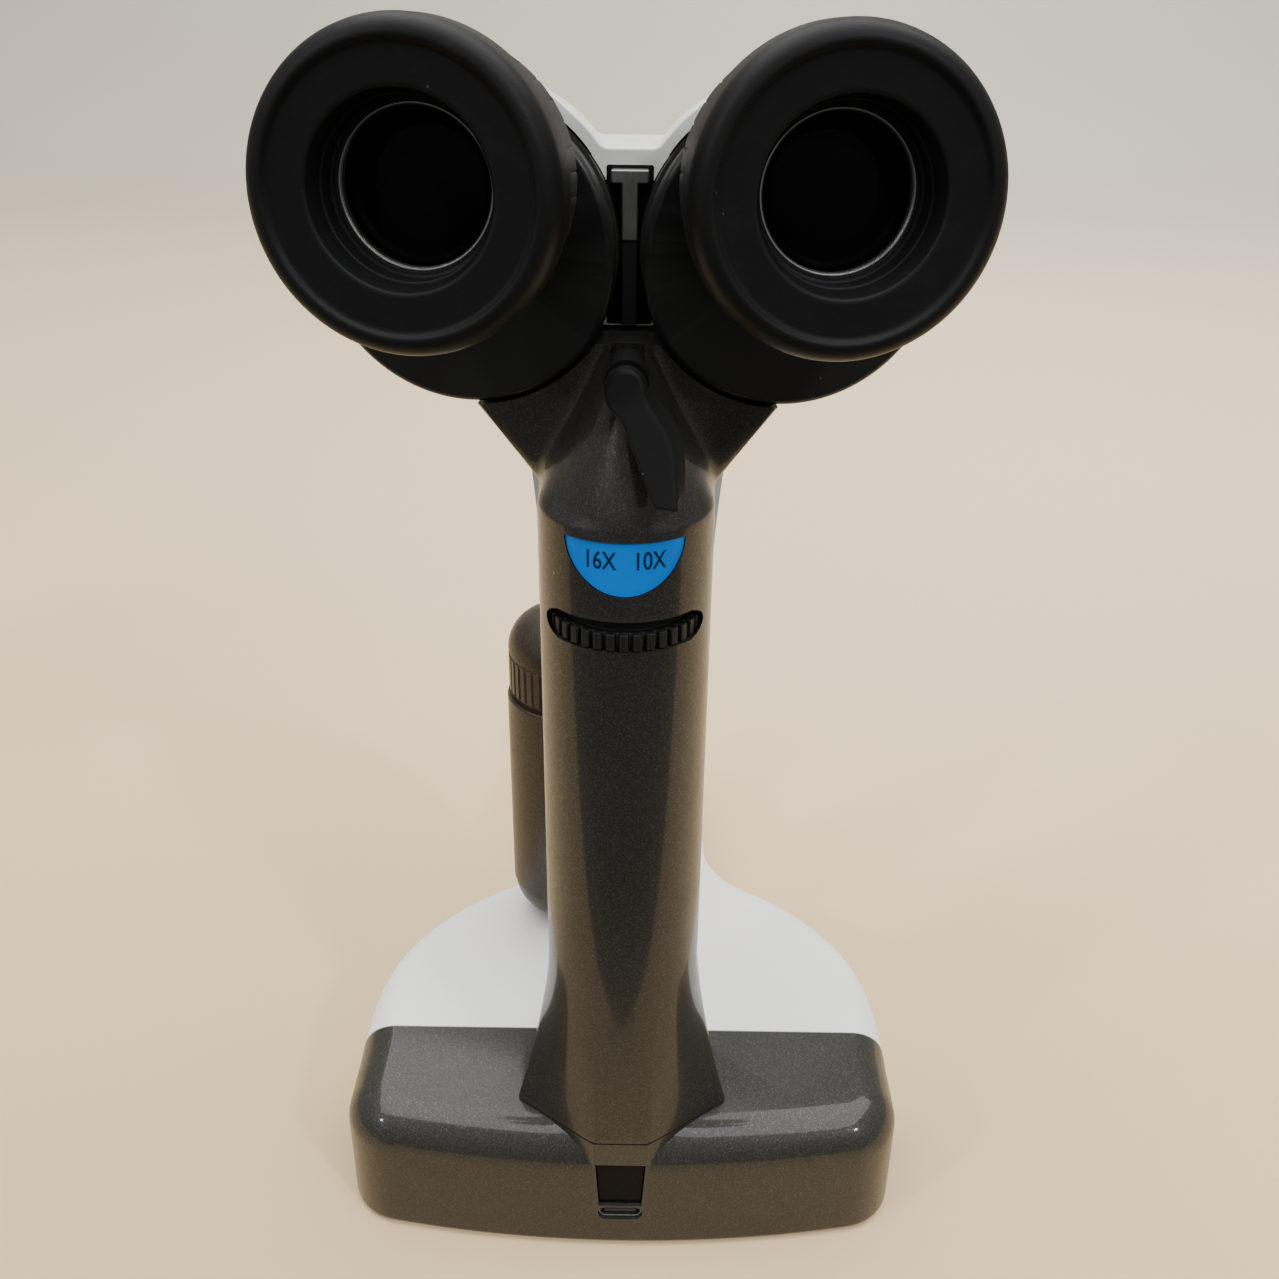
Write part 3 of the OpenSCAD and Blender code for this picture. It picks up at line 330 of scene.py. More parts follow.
def wear(finish):
    # 0 on flats and 1 along outer edges
    edge = finish.add("ShaderNodeNewGeometry", output="Pointiness")
    return finish.range(edge, 0.505, 0.56)


def dust(finish, scale, size, share):
    # a few small specks, one in some of the cells
    spot = finish.cells(scale) < size
    chosen = finish.cells(scale, "Color") > share
    return spot * chosen


def dusted(finish, tone, colour, amount, scale, size, share):
    return finish.blend(dust(finish, scale, size, share) * amount, tone, colour)


# Finishes

lint = {"warm": (0.42, 0.40, 0.37), "dark": (0.20, 0.20, 0.19), "pale": (0.5, 0.5, 0.5), "grey": (0.4, 0.4, 0.4),
        "fibre": (1.0, 0.2, 0.3)}
solder = {"resist": (0.004, 0.05, 0.022), "resistLit": (0.008, 0.09, 0.04), "track": (0.02, 0.16, 0.07),
          "gold": (0.65, 0.5, 0.2), "stretch": (1.0, 1.0, 0.6)}


def graphitePaint(name, look):
    f = Finish(name, Coat_Weight=look["coat"], Coat_Roughness=look["coatRough"], Coat_IOR=1.5, IOR=1.5,
               Specular_IOR_Level=0.17)
    flake = f.cells(look["flakeScale"], "Color") ** look["rarity"]
    broad = f.noise(28.0, 4.0)
    smudge = f.range(f.noise(75.0, 6.0, 0.62), 0.52, 0.72)
    tone = f.blend(broad, look["deep"], look["mid"])
    tone = f.blend(flake * look["sparkle"], tone, look["bright"])
    tone = dusted(f, tone, lint["warm"], 0.5, 260.0, 0.05, 0.86)
    tone = f.blend(wear(f) * 0.04, tone, look["bright"])
    flakeRelief = f.bump(flake, 0.00003, look["flakeRelief"])
    peel = f.bump(f.noise(700.0, 2.0), 0.00004, 0.10, flakeRelief)
    return f.paint(Base_Color=tone, Metallic=f.range(flake, 0.0, 1.0, look["metal"], 1.0),
                   Roughness=look["rough"] + smudge * 0.12 + broad * 0.06, Normal=peel)


def whiteShellPlastic(name, look):
    f = Finish(name, Coat_Weight=0.35, Coat_Roughness=0.08, IOR=1.49)
    cloud = f.noise(18.0, 5.0, 0.6)
    smudge = f.range(f.noise(60.0, 6.0, 0.65), 0.5, 0.7)
    tone = f.blend(cloud, look["cool"], look["warm"])
    tone = f.blend(smudge * 0.10, tone, look["grime"])
    tone = dusted(f, tone, look["speck"], 0.6, 300.0, 0.05, 0.88)
    grain = f.bump(f.noise(1500.0, 3.0), 0.00003, 0.10)
    peel = f.bump(f.noise(420.0, 2.0), 0.00005, 0.10, grain)
    return f.paint(Base_Color=tone, Roughness=look["rough"] + smudge * 0.10 + cloud * 0.05, Normal=peel)


def blackCasting(name, look):
    f = Finish(name, IOR=1.5, Specular_IOR_Level=look["sheen"], Coat_Weight=look["coat"], Coat_Roughness=0.22)
    cloud = f.noise(45.0, 4.0)
    grain = f.noise(look["grain"], 3.0, 0.6)
    tone = f.blend(cloud, look["deep"], look["mid"])
    tone = f.blend(grain * 0.35, tone, look["fleck"])
    tone = f.blend(wear(f) * look["wear"], tone, look["worn"])
    tone = dusted(f, tone, lint["dark"], 0.5, 380.0, 0.06, 0.84)
    relief = f.bump(grain, 0.00006, look["relief"])
    return f.paint(Base_Color=tone, Roughness=look["rough"] + grain * 0.14 + cloud * 0.08, Normal=relief)


def eyecupRubber(name, look):
    f = Finish(name, IOR=1.46, Specular_IOR_Level=0.14)
    cloud = f.noise(60.0, 5.0, 0.6)
    pores = f.cells(2600.0)
    handled = f.range(f.noise(120.0, 6.0, 0.7), 0.5, 0.72)
    fibre = f.cells(230.0, stretch=lint["fibre"]) < 0.025
    chosen = f.cells(230.0, "Color", stretch=lint["fibre"]) > 0.82
    tone = f.blend(cloud, look["deep"], look["mid"])
    tone = f.blend(handled * 0.18, tone, look["dry"])
    tone = f.blend(wear(f) * 0.30, tone, look["dry"])
    tone = dusted(f, tone, look["speck"], 0.55, 330.0, 0.06, 0.8)
    tone = f.blend(fibre * chosen * 0.6, tone, look["speck"])
    relief = f.bump(pores, 0.00008, 0.16)
    relief = f.bump(f.noise(900.0, 3.0), 0.00006, 0.18, relief)
    return f.paint(Base_Color=tone, Roughness=look["rough"] + handled * 0.10 - cloud * 0.08, Normal=relief)


def turnedMetal(name, look):
    f = Finish(name, IOR=2.0)
    lines = f.noise(look["lines"], 3.0, 0.6, stretch=look["stretch"])
    cloud = f.noise(40.0, 4.0)
    tone = f.blend(lines, look["deep"], look["bright"])
    tone = f.blend(f.range(cloud, 0.5, 0.8) * 0.3, tone, look["dull"])
    relief = f.bump(lines, 0.00003, 0.25)
    return f.paint(Base_Color=tone, Metallic=f.range(cloud, 0.0, 1.0, 0.9, 1.0),
                   Roughness=look["rough"] + lines * 0.12 + cloud * 0.06, Normal=relief)


def coatedGlass(name, look):
    f = Finish(name, IOR=1.52, Transmission_Weight=look["clear"], Specular_IOR_Level=look["sheen"],
               Thin_Film_Thickness=look["film"], Thin_Film_IOR=1.38)
    smear = f.range(f.noise(90.0, 6.0, 0.7), 0.55, 0.8)
    tone = f.blend(smear * 0.3, look["tone"], look["haze"])
    tone = dusted(f, tone, lint["pale"], 0.5, 500.0, 0.05, 0.85)
    return f.paint(Base_Color=tone, Roughness=0.01 + smear * 0.05)


def mouldedPart(name, look):
    f = Finish(name, IOR=1.5, Coat_Weight=look.get("coat", 0.0), Specular_IOR_Level=look.get("sheen", 0.5))
    cloud = f.noise(look.get("scale", 80.0), 4.0, 0.6)
    grain = f.noise(1800.0, 3.0)
    tone = f.blend(cloud, look["deep"], look["bright"])
    tone = dusted(f, tone, lint["grey"], 0.4, 360.0, 0.06, 0.85)
    return f.paint(Base_Color=tone, Roughness=look["rough"] + grain * 0.12, Normal=f.bump(grain, 0.00004, 0.15))


def circuitBoard(name):
    f = Finish(name, IOR=1.5, Coat_Weight=0.4)
    tracks = f.cells(260.0, feature="DISTANCE_TO_EDGE", stretch=solder["stretch"]) < 0.06
    pads = f.cells(520.0) < 0.16
    tone = f.blend(f.noise(90.0), solder["resist"], solder["resistLit"])
    tone = f.blend(tracks, tone, solder["track"])
    tone = f.blend(pads * (f.cells(520.0, "Color") > 0.75), tone, solder["gold"])
    return f.paint(Base_Color=tone, Roughness=0.30 + f.noise(500.0) * 0.15, Normal=f.bump(tracks, 0.00005, 0.3))


finishes = {
    "graphite": graphitePaint("graphitePaint", {
        "deep": (0.0165, 0.0155, 0.0133), "mid": (0.0235, 0.0222, 0.0192), "bright": (0.19, 0.195, 0.185),
        "coat": 0.42, "coatRough": 0.08, "flakeScale": 5200.0, "rarity": 5.0, "sparkle": 0.5, "flakeRelief": 0.12,
        "metal": 0.06, "rough": 0.36}),
    "towerPaint": graphitePaint("towerPaint", {
        "deep": (0.026, 0.020, 0.013), "mid": (0.036, 0.028, 0.020), "bright": (0.22, 0.20, 0.18), "coat": 0.2,
        "coatRough": 0.14, "flakeScale": 5200.0, "rarity": 5.0, "sparkle": 0.4, "flakeRelief": 0.10, "metal": 0.08,
        "rough": 0.40}),
    "white": whiteShellPlastic("whiteShell", {
        "cool": (0.88, 0.88, 0.88), "warm": (0.92, 0.91, 0.89), "grime": (0.60, 0.56, 0.50),
        "speck": (0.36, 0.33, 0.30), "rough": 0.26}),
    "housing": blackCasting("housingBlack", {
        "deep": (0.0028, 0.0028, 0.003), "mid": (0.0045, 0.0045, 0.0047), "fleck": (0.010, 0.010, 0.0105),
        "worn": (0.03, 0.03, 0.03), "wear": 0.35, "grain": 2400.0, "relief": 0.12, "rough": 0.36,
        "sheen": 0.28, "coat": 0.15}),
    "ring": blackCasting("ringBlack", {
        "deep": (0.0035, 0.0035, 0.0035), "mid": (0.0055, 0.0055, 0.0055), "fleck": (0.012, 0.012, 0.012),
        "worn": (0.04, 0.04, 0.038), "wear": 0.4, "grain": 3000.0, "relief": 0.2, "rough": 0.44,
        "sheen": 0.22, "coat": 0.0}),
    "lever": blackCasting("leverBlack", {
        "deep": (0.0045, 0.0047, 0.005), "mid": (0.007, 0.0073, 0.0077), "fleck": (0.014, 0.014, 0.014),
        "worn": (0.02, 0.02, 0.019), "wear": 0.4, "grain": 2600.0, "relief": 0.16, "rough": 0.46,
        "sheen": 0.12, "coat": 0.0}),
    "baffle": blackCasting("baffleBlack", {
        "deep": (0.003, 0.003, 0.003), "mid": (0.005, 0.005, 0.005), "fleck": (0.008, 0.008, 0.008),
        "worn": (0.02, 0.02, 0.02), "wear": 0.2, "grain": 3200.0, "relief": 0.3, "rough": 0.55,
        "sheen": 0.22, "coat": 0.0}),
    "rubber": eyecupRubber("eyecupRubber", {
        "deep": (0.0062, 0.0064, 0.0066), "mid": (0.0088, 0.0090, 0.0092), "dry": (0.018, 0.018, 0.0175),
        "speck": (0.09, 0.088, 0.08), "rough": 0.50}),
    "pad": eyecupRubber("padRubber", {
        "deep": (0.02, 0.02, 0.02), "mid": (0.03, 0.03, 0.03), "dry": (0.06, 0.06, 0.06),
        "speck": (0.2, 0.2, 0.19), "rough": 0.7}),
    "steel": turnedMetal("turnedSteel", {
        "deep": (0.40, 0.40, 0.41), "bright": (0.62, 0.62, 0.63), "dull": (0.30, 0.30, 0.30), "lines": 900.0,
        "stretch": (1.0, 1.0, 6.0), "rough": 0.22}),
    "bracket": turnedMetal("bracketMetal", {
        "deep": (0.17, 0.17, 0.165), "bright": (0.30, 0.30, 0.29), "dull": (0.12, 0.12, 0.12), "lines": 1400.0,
        "stretch": (1.0, 1.0, 0.3), "rough": 0.34}),
    "aluminium": turnedMetal("milledAluminium", {
        "deep": (0.52, 0.53, 0.54), "bright": (0.72, 0.73, 0.74), "dull": (0.45, 0.45, 0.46), "lines": 1200.0,
        "stretch": (0.3, 1.0, 1.0), "rough": 0.30}),
    "brass": turnedMetal("platedBrass", {
        "deep": (0.60, 0.42, 0.16), "bright": (0.82, 0.62, 0.28), "dull": (0.40, 0.28, 0.12), "lines": 1200.0,
        "stretch": (1.0, 1.0, 3.0), "rough": 0.22}),
    "mirror": turnedMetal("frontSilvered", {
        "deep": (0.86, 0.87, 0.88), "bright": (0.92, 0.93, 0.94), "dull": (0.82, 0.83, 0.84), "lines": 200.0,
        "stretch": (1.0, 1.0, 1.0), "rough": 0.0}),
    # painted shade: the eye lenses are opaque and near-black, a dark stand-in for the shaded inside of the eyepiece
    # seen through clear glass
    "eyeLensShadeBlack": coatedGlass("eyeLensPaintedShade", {
        "tone": (0.0035, 0.0035, 0.0042), "haze": (0.007, 0.007, 0.0075), "clear": 0.0, "film": 0.0, "sheen": 0.04}),
    "glass": coatedGlass("lensGlass", {
        "tone": (0.92, 0.95, 0.97), "haze": (0.8, 0.84, 0.86), "clear": 1.0, "film": 320.0, "sheen": 0.35}),
    "window": mouldedPart("smokedWindow", {
        "deep": (0.003, 0.003, 0.0035), "bright": (0.006, 0.006, 0.007), "rough": 0.22, "sheen": 0.06}),
    "label": mouldedPart("labelBlue", {
        "deep": (0.0, 0.22, 0.86), "bright": (0.0, 0.25, 0.94), "rough": 0.30, "coat": 0.1, "sheen": 0.25,
        "scale": 140.0}),
    "ink": mouldedPart("labelInk", {
        "deep": (0.004, 0.012, 0.03), "bright": (0.006, 0.02, 0.05), "rough": 0.30, "coat": 0.3}),
    "chip": mouldedPart("mouldedCase", {
        "deep": (0.015, 0.016, 0.03), "bright": (0.025, 0.027, 0.05), "rough": 0.42}),
    "cell": mouldedPart("cellSleeve", {
        "deep": (0.01, 0.08, 0.25), "bright": (0.015, 0.11, 0.32), "rough": 0.24, "coat": 0.5}),
    "led": mouldedPart("ledDome", {
        "deep": (0.75, 0.68, 0.34), "bright": (0.88, 0.82, 0.46), "rough": 0.12, "coat": 1.0}),
    "board": circuitBoard("circuitBoard"),
}
print("finishes made:", len(finishes))

# Stand: one outline, rounded over its top edge, then cut into its two shells

stand = {"radius": 58.0, "back": 33.6, "bowRadius": 270.0, "cornerRadius": 12.0, "height": 30.0, "base": 1.0,
         "backEdge": 8.0, "frontEdge": 3.2, "neckEdge": 1.6, "footEdge": 1.4, "neckWidth": 40.0, "neckFillet": 18.0,
         "neckFront": 74.0, "neckCorner": 5.0, "seam": -1.5, "seamGap": 0.12, "channelHalf": 16.9,
         "channelBack": -24.0, "channelFloor": 8.0, "saddleLow": 12.0, "saddleGap": 0.4, "pocketDeep": 3.4,
         "edgeSteps": 8}


def standOutline():
    # (x, y) points of the right half, from the middle of the back round to the middle of the neck's front
    s = stand
    cornerX = s["radius"] - s["cornerRadius"]
    bowY = s["bowRadius"] - s["back"]
    bow = degrees(asin(cornerX / (s["bowRadius"] - s["cornerRadius"])))
    cornerY = bowY - (s["bowRadius"] - s["cornerRadius"]) * cos(radians(bow))
    neckX = s["neckWidth"] / 2 + s["neckFillet"]
    neckY = sqrt((s["radius"] + s["neckFillet"]) ** 2 - neckX ** 2)
    meet = degrees(atan2(neckY, neckX))
    end = s["neckWidth"] / 2 - s["neckCorner"]
    half = arcPoints(0, bowY, s["bowRadius"], -90, bow - 90, 22)
    half += arcPoints(cornerX, cornerY, s["cornerRadius"], bow - 90, 0, 14)[1:]
    half += [(s["radius"], cornerY * (1 - i / 8)) for i in range(1, 8)]
    half += arcPoints(0, 0, s["radius"], 0, meet, 30)
    half += arcPoints(neckX, neckY, s["neckFillet"], meet - 180, -180, 12)[1:]
    half += [(s["neckWidth"] / 2, neckY + (s["neckFront"] - s["neckCorner"] - neckY) * i / 5) for i in range(1, 5)]
    half += arcPoints(end, s["neckFront"] - s["neckCorner"], s["neckCorner"], 0, 90, 8)
    half += [(end * (1 - i / 5), s["neckFront"]) for i in range(1, 6)]
    return half + [(-x, y) for x, y in half[-2:0:-1]]


def between(value, start, end):
    # how far the value is from start to end, kept within 0 and 1
    return min(max((value - start) / (end - start), 0.0), 1.0)


def smoothStep(value, low, high):
    t = between(value, low, high)
    return t * t * (3 - 2 * t)


def standBody():
    s = stand
    points = standOutline()
    count = len(points)
    normals = []
    for i in range(count):
        before, after = points[i - 1], points[(i + 1) % count]
        along = Vector((after[0] - before[0], after[1] - before[1])).normalized()
        normals.append(Vector((-along.y, along.x)))
    rings = []
    levels = [("foot", i / 4) for i in range(5)]
    levels += [("wall", i / 4) for i in range(1, 4)]
    levels += [("top", i / s["edgeSteps"]) for i in range(s["edgeSteps"] + 1)]
    for part, t in levels:
        ring = []
        for (x, y), inward in zip(points, normals):
            top = s["backEdge"] + (s["frontEdge"] - s["backEdge"]) * smoothStep(y, -8, 26)
            top += (s["neckEdge"] - top) * smoothStep(y, 46, 58)
            foot = s["footEdge"]
            if part == "foot":
                draw, z = foot * (1 - sin(t * pi / 2)), s["base"] + foot * (1 - cos(t * pi / 2))
            elif part == "wall":
                low, high = s["base"] + foot, s["height"] - top
                draw, z = 0.0, low + (high - low) * t
            else:
                draw, z = top * (1 - cos(t * pi / 2)), s["height"] - top * (1 - sin(t * pi / 2))
            ring.append((x + inward.x * draw, y + inward.y * draw, z))
        rings.append(ring)
    return loft(rings)


foot = {"width": 43.2, "ridge": 11.0, "wideY": -21.7, "backY": -33.55, "frontHalf": 18.6}


def footOutline(grow=0.0):
    f = foot
    return [(-f["width"] / 2 - grow, f["wideY"]), (-f["ridge"] / 2, f["backY"]), (f["ridge"] / 2, f["backY"]),
            (f["width"] / 2 + grow, f["wideY"]), (f["frontHalf"] + grow, lamp["seamY"]),
            (-f["frontHalf"] - grow, lamp["seamY"])]


window = {"width": 10.2, "taper": 0.7, "low": 12.4, "high": 24.2, "depth": 0.8, "back": 2.2, "gap": 0.12}
inlet = {"width": 8.94, "height": 3.26, "middle": 10.2, "wall": 0.35, "gap": 0.1, "mouth": 0.7, "floor": 7.0,
         "back": 7.6, "tongueHalf": 3.3, "tongueThick": 0.35, "tongueTip": 0.9, "padHalf": 0.12, "padThick": 0.03,
         "padCount": 12, "padPitch": 0.5, "padZ": 0.36, "padTip": 1.2, "padEnd": 5.0}


def inletOutline(grow=0.0, steps=12):
    i = inlet
    radius, reach = i["height"] / 2 + grow, (i["width"] - i["height"]) / 2
    right = arcPoints(reach, i["middle"], radius, -90, 90, steps)
    return right + arcPoints(-reach, i["middle"], radius, 90, 270, steps)


def windowOutline(grow=0.0):
    w = window
    low, high = w["low"] - grow, w["high"] + grow
    wide, narrow = w["width"] / 2 + grow, w["width"] / 2 - w["taper"] + grow
    return [(-narrow, low), (narrow, low), (wide, high), (-wide, high)]


def makeStand():
    s, i, face = stand, inlet, -stand["back"]
    saddle = outlinePlate(footOutline(s["saddleGap"]), s["saddleLow"], s["height"])
    whole = carve(standBody(), [saddle], "UNION")
    channel = block((-s["channelHalf"], s["channelBack"], s["channelFloor"]), (s["channelHalf"], 90, 60))
    whole = carve(whole, [channel])
    rear = carve(whole.copy(), [block((-90, s["seam"] - s["seamGap"], -5), (90, 120, 50)),
                                outlinePlate(windowOutline(), face - 2, face + s["pocketDeep"], "Y"),
                                outlinePlate(inletOutline(i["gap"]), face - 2, face + s["pocketDeep"], "Y")])
    front = carve(whole, [block((-90, -90, -5), (90, s["seam"] + s["seamGap"], 50))])
    keep(rear, "standRear", "stand", finishes["graphite"], ["stand_rear_shell"], bevel=0.3)
    keep(front, "standFront", "stand", finishes["white"], ["stand_front_shell"], bevel=0.3)
    pane = outlinePlate(windowOutline(-window["gap"]), face + window["depth"], face + window["back"], "Y")
    keep(pane, "chargeWindow", "stand", finishes["window"], ["charge_window"], bevel=0.15)
    tunnel = carve(outlinePlate(inletOutline(), face + i["mouth"], face + i["back"], "Y"),
                   [outlinePlate(inletOutline(-i["wall"]), face - 1, face + i["floor"], "Y")])
    keep(tunnel, "inletShell", "stand", finishes["bracket"], ["charge_inlet"], bevel=0.08)
    tongue = block((-i["tongueHalf"], face + i["tongueTip"], i["middle"] - i["tongueThick"]),
                   (i["tongueHalf"], face + i["floor"], i["middle"] + i["tongueThick"]), 0.1)
    keep(tongue, "inletTongue", "stand", finishes["chip"])
    pads = []
    for x in [(n - (i["padCount"] - 1) / 2) * i["padPitch"] for n in range(i["padCount"])]:
        for z in (i["middle"] - i["padZ"], i["middle"] + i["padZ"]):
            pads.append(block((x - i["padHalf"], face + i["padTip"], z - i["padThick"]),
                              (x + i["padHalf"], face + i["padEnd"], z + i["padThick"])))
    keep(join(*pads), "inletContacts", "stand", finishes["brass"], even=False)
    print("stand made")


makeStand()

# Lamp's graphite rear shell: foot, handle, ridge and shoulders in one skin

shell = {"low": 30.35, "flareTop": 68.0, "flarePower": 1.55, "neck": 161.4, "top": 186.1, "shoulderHalf": 26.0,
         "shoulderBack": -13.0, "shoulderFront": 2.0, "frontPoints": 24, "shoulderZ": 177.5, "centreY": -9.0,
         "ridgeHalf": 3.2, "ridgeBack": -22.0, "ridgeStart": 23.6, "ridgeMore": 0.6, "ridgePower": 1.15,
         "blendWidth": 2.4, "easeIn": 0.12, "riseEase": 0.08, "footSoft": 10, "footSharp": 60, "boxPower": 9,
         "frontPower": 0.22, "ringPoints": 121, "drumSpace": 25.55, "collarRear": -7.4, "collarFront": -11.6,
         "collarOut": 24.05, "collarIn": 21.05, "notchHalf": 2.7, "notchLow": 184.4,
         "gap": 0.14}


def handleReach(a):
    # distance from the seam's middle to the back of the handle, in the direction a from straight back
    r, gap = lamp["handleRadius"], lamp["handleY"] - shell["centreY"]
    back = -gap * cos(a) + sqrt(max((gap * cos(a)) ** 2 - gap * gap + r * r, 0.0))
    side = r / max(abs(sin(a)), 1e-6)
    sideY = shell["centreY"] - side * cos(a)
    return side if sideY > lamp["handleY"] else back


def facesReach(a, faces, power):
    # faces: (normal x, normal y, distance); a soft-cornered outline
    dx, dy = sin(a), -cos(a)
    total = sum(max((nx * dx + ny * dy) / d, 0.0) ** power for nx, ny, d in faces)
    return total ** (-1 / power)


def footFaces():
    corners = footOutline()
    faces = []
    for (x0, y0), (x1, y1) in zip(corners, corners[1:] + corners[:1]):
        n = Vector((y0 - y1, x1 - x0)).normalized()
        if n.dot(Vector((x0, y0 - shell["centreY"]))) < 0:
            n = -n
        faces.append((n.x, n.y, n.dot(Vector((x0, y0 - shell["centreY"])))))
    return [f for f in faces if f[1] < 0.9]


def easedShare(t, ease):
    # from 0 to 1 in a straight line with a soft start
    return (t * t / (2 * ease) if t < ease else t - ease / 2) / (1 - ease / 2)


def shellRing(z, faces, grow=0.0):
    s = shell
    flare = between(z, s["flareTop"], s["low"]) ** s["flarePower"]
    rise = easedShare(between(z, s["neck"], s["shoulderZ"]), s["riseEase"])
    narrow = between(z, s["neck"], s["top"])
    box = [(1, 0, s["shoulderHalf"]), (-1, 0, s["shoulderHalf"]), (0, -1, s["centreY"] - s["shoulderBack"])]
    half = lamp["handleRadius"] + s["ridgeMore"]
    half += (s["ridgeHalf"] - half) * narrow ** s["ridgePower"]
    lean = narrow - s["easeIn"] * (1 - exp(-narrow / s["easeIn"]))
    deep = s["ridgeStart"] + (s["centreY"] - s["ridgeBack"] - s["ridgeStart"]) * lean / (1 - s["easeIn"])
    soft = s["blendWidth"] * min(narrow * 4, 1.0)
    ring = []
    for i in range(s["ringPoints"]):
        a = radians(-90 + 180 * i / (s["ringPoints"] - 1))
        reach = handleReach(a)
        if flare > 0:
            reach += (facesReach(a, faces, s["footSoft"] + s["footSharp"] * flare) - reach) * flare
        if rise > 0:
            reach += (facesReach(a, box, s["boxPower"]) - reach) * rise
            ridge = 1 / sqrt((sin(a) / half) ** 2 + (cos(a) / deep) ** 2)
            near = max(soft - abs(reach - ridge), 0.0) / max(soft, 1e-6)
            reach = max(reach, ridge) + near * near * soft / 4
        ring.append(((reach + grow) * sin(a), s["centreY"] - (reach + grow) * cos(a), z))
    width, deep = ring[-1][0], (s["shoulderFront"] - lamp["seamY"]) * rise
    for i in range(s["frontPoints"] + 1):
        a = pi * i / s["frontPoints"]
        x = abs(cos(a)) ** s["frontPower"] * (1 if cos(a) > 0 else -1)
        ring.append((width * x, lamp["seamY"] - 0.05 + (deep + grow) * abs(sin(a)) ** s["frontPower"], z))
    return ring


slot = {"z": 143.7, "height": 5.4, "half": 13.0, "wheelY": -20.2, "wheelSpace": 13.3}
label = {"low": 150.7, "height": 9.4, "radius": 9.6, "sunk": 0.8, "thick": 0.5, "gap": 0.12, "figureTurn": 16.2,
         "figureZ": 156.8, "figureHeight": 3.0, "figureWidth": 0.74, "figureRise": 0.03,
         "figureShare": 0.7, "figureWeight": 0.02}


def labelOutline(grow=0.0, steps=40):
    low, top = label["low"], label["low"] + label["height"] + grow
    radius = label["radius"] + grow
    cap = degrees(asin((top - low - label["radius"]) / radius))
    return arcPoints(0, low + label["radius"], radius, 180 - cap, 360 + cap, steps)


def labelCutter(grow, low, high):
    # half-round outline, kept between two radii of the handle
    column = outlinePlate(labelOutline(grow), -40.0, lamp["handleY"], "Y")
    ring = lathe([(low, label["low"] - 6), (high, label["low"] - 6), (high, label["low"] + label["height"] + 6),
                  (low, label["low"] + label["height"] + 6)], 160, Matrix.Translation((0, lamp["handleY"], 0)))
    return carve(column, [ring], "INTERSECT")


def wheelSlot():
    s = slot
    outline = arcPoints(s["half"] - s["height"] / 2, s["z"], s["height"] / 2, -90, 90, 10)
    outline += arcPoints(-s["half"] + s["height"] / 2, s["z"], s["height"] / 2, 90, 270, 10)
    slit = outlinePlate(outline, -45.0, s["wheelY"], "Y")
    pocket = cylinder(s["wheelSpace"], s["z"] - s["height"] / 2, s["z"] + s["height"] / 2,
                      Matrix.Translation((0, s["wheelY"], 0)), 96)
    return carve(slit, [pocket], "UNION")


def makeRearShell():
    s = shell
    faces = footFaces()
    levels = [s["low"] + (s["flareTop"] - s["low"]) * i / 30 for i in range(31)]
    levels += [s["flareTop"] + (s["neck"] - s["flareTop"]) * i / 60 for i in range(1, 61)]
    levels += [s["neck"] + (s["top"] - s["neck"]) * i / 34 for i in range(1, 35)]
    body = loft([shellRing(z, faces) for z in levels])
    tools = [wheelSlot(), labelCutter(0.0, lamp["handleRadius"] - label["sunk"], lamp["handleRadius"] + 4)]
    for side in (-1, 1):
        tools.append(cylinder(s["drumSpace"], s["collarRear"], 24.0, onDrum(side), 128))
        tools.append(cylinder(s["collarIn"], -24.0, 0.0, onDrum(side), 96))
    tools.append(block((-s["notchHalf"], -40.0, s["notchLow"]), (s["notchHalf"], -12.0, 190.0)))
    body = carve(body, tools)
    keep(body, "rearShell", "lamp", finishes["graphite"], ["rear_shell"], crease=30, bevel=0.5)
    for side, name in ((-1, "Left"), (1, "Right")):
        inside, outside, low, high = s["collarIn"], s["collarOut"], s["collarFront"], s["collarRear"]
        collar = lathe([(inside, low), (outside, low, 0.3), (outside, high, 0.3), (inside, high)], 128, onDrum(side))
        trim = cylinder(outside, -12.0, -7.0, trimOnDrum(side, lamp["collarTrim"]), 128)
        collar = carve(collar, [trim], "INTERSECT")
        keep(collar, "housingCollar" + name, "lamp", finishes["graphite"])
    print("rear shell made")


makeRearShell()

# Lamp's white front shell with the lower arm

frontShell = {"halfX": 5.2, "cornerY": -7.0, "cornerRadius": 10.0, "armTop": 29.5, "armLow": 11.1, "armHalf": 16.5,
              "armStraight": 70.0, "endRadius": 15.0, "armEdge": 1.4, "flareTop": 55.0, "flareHalf": 15.5,
              "flareFront": 15.0, "flarePower": 1.5, "boxLow": 148.0, "boxHalf": 18.0, "boxFront": 25.5,
              "boxPower": 1.35, "square": 7, "top": 177.2, "wall": 2.0, "ringPoints": 73, "pivotHole": 6.6,
              "hollowLow": 5.0,
              "hollow": [(-14.19, -6), (14.19, -6), (14.19, 66), (11.18, 104), (-11.18, 104), (-14.19, 66)]}


def frontReach(a, x, y, radius, half):
    # distance from the seam's middle to an outline with two round corners, in the direction a from the right
    dx, dy = cos(a), sin(a)
    best = half / abs(dx) if abs(dx) > 1e-6 else 1e9
    if abs(dx) < 1e-6 or best * dy > y - lamp["seamY"]:
        flat = (y + radius - lamp["seamY"]) / dy
        best = flat
        if flat * abs(dx) > x:
            # the ray meets the round corner
            cx, cy = x if dx > 0 else -x, y - lamp["seamY"]
            along = dx * cx + dy * cy
            best = along + sqrt(max(along * along - cx * cx - cy * cy + radius * radius, 0.0))
    return best


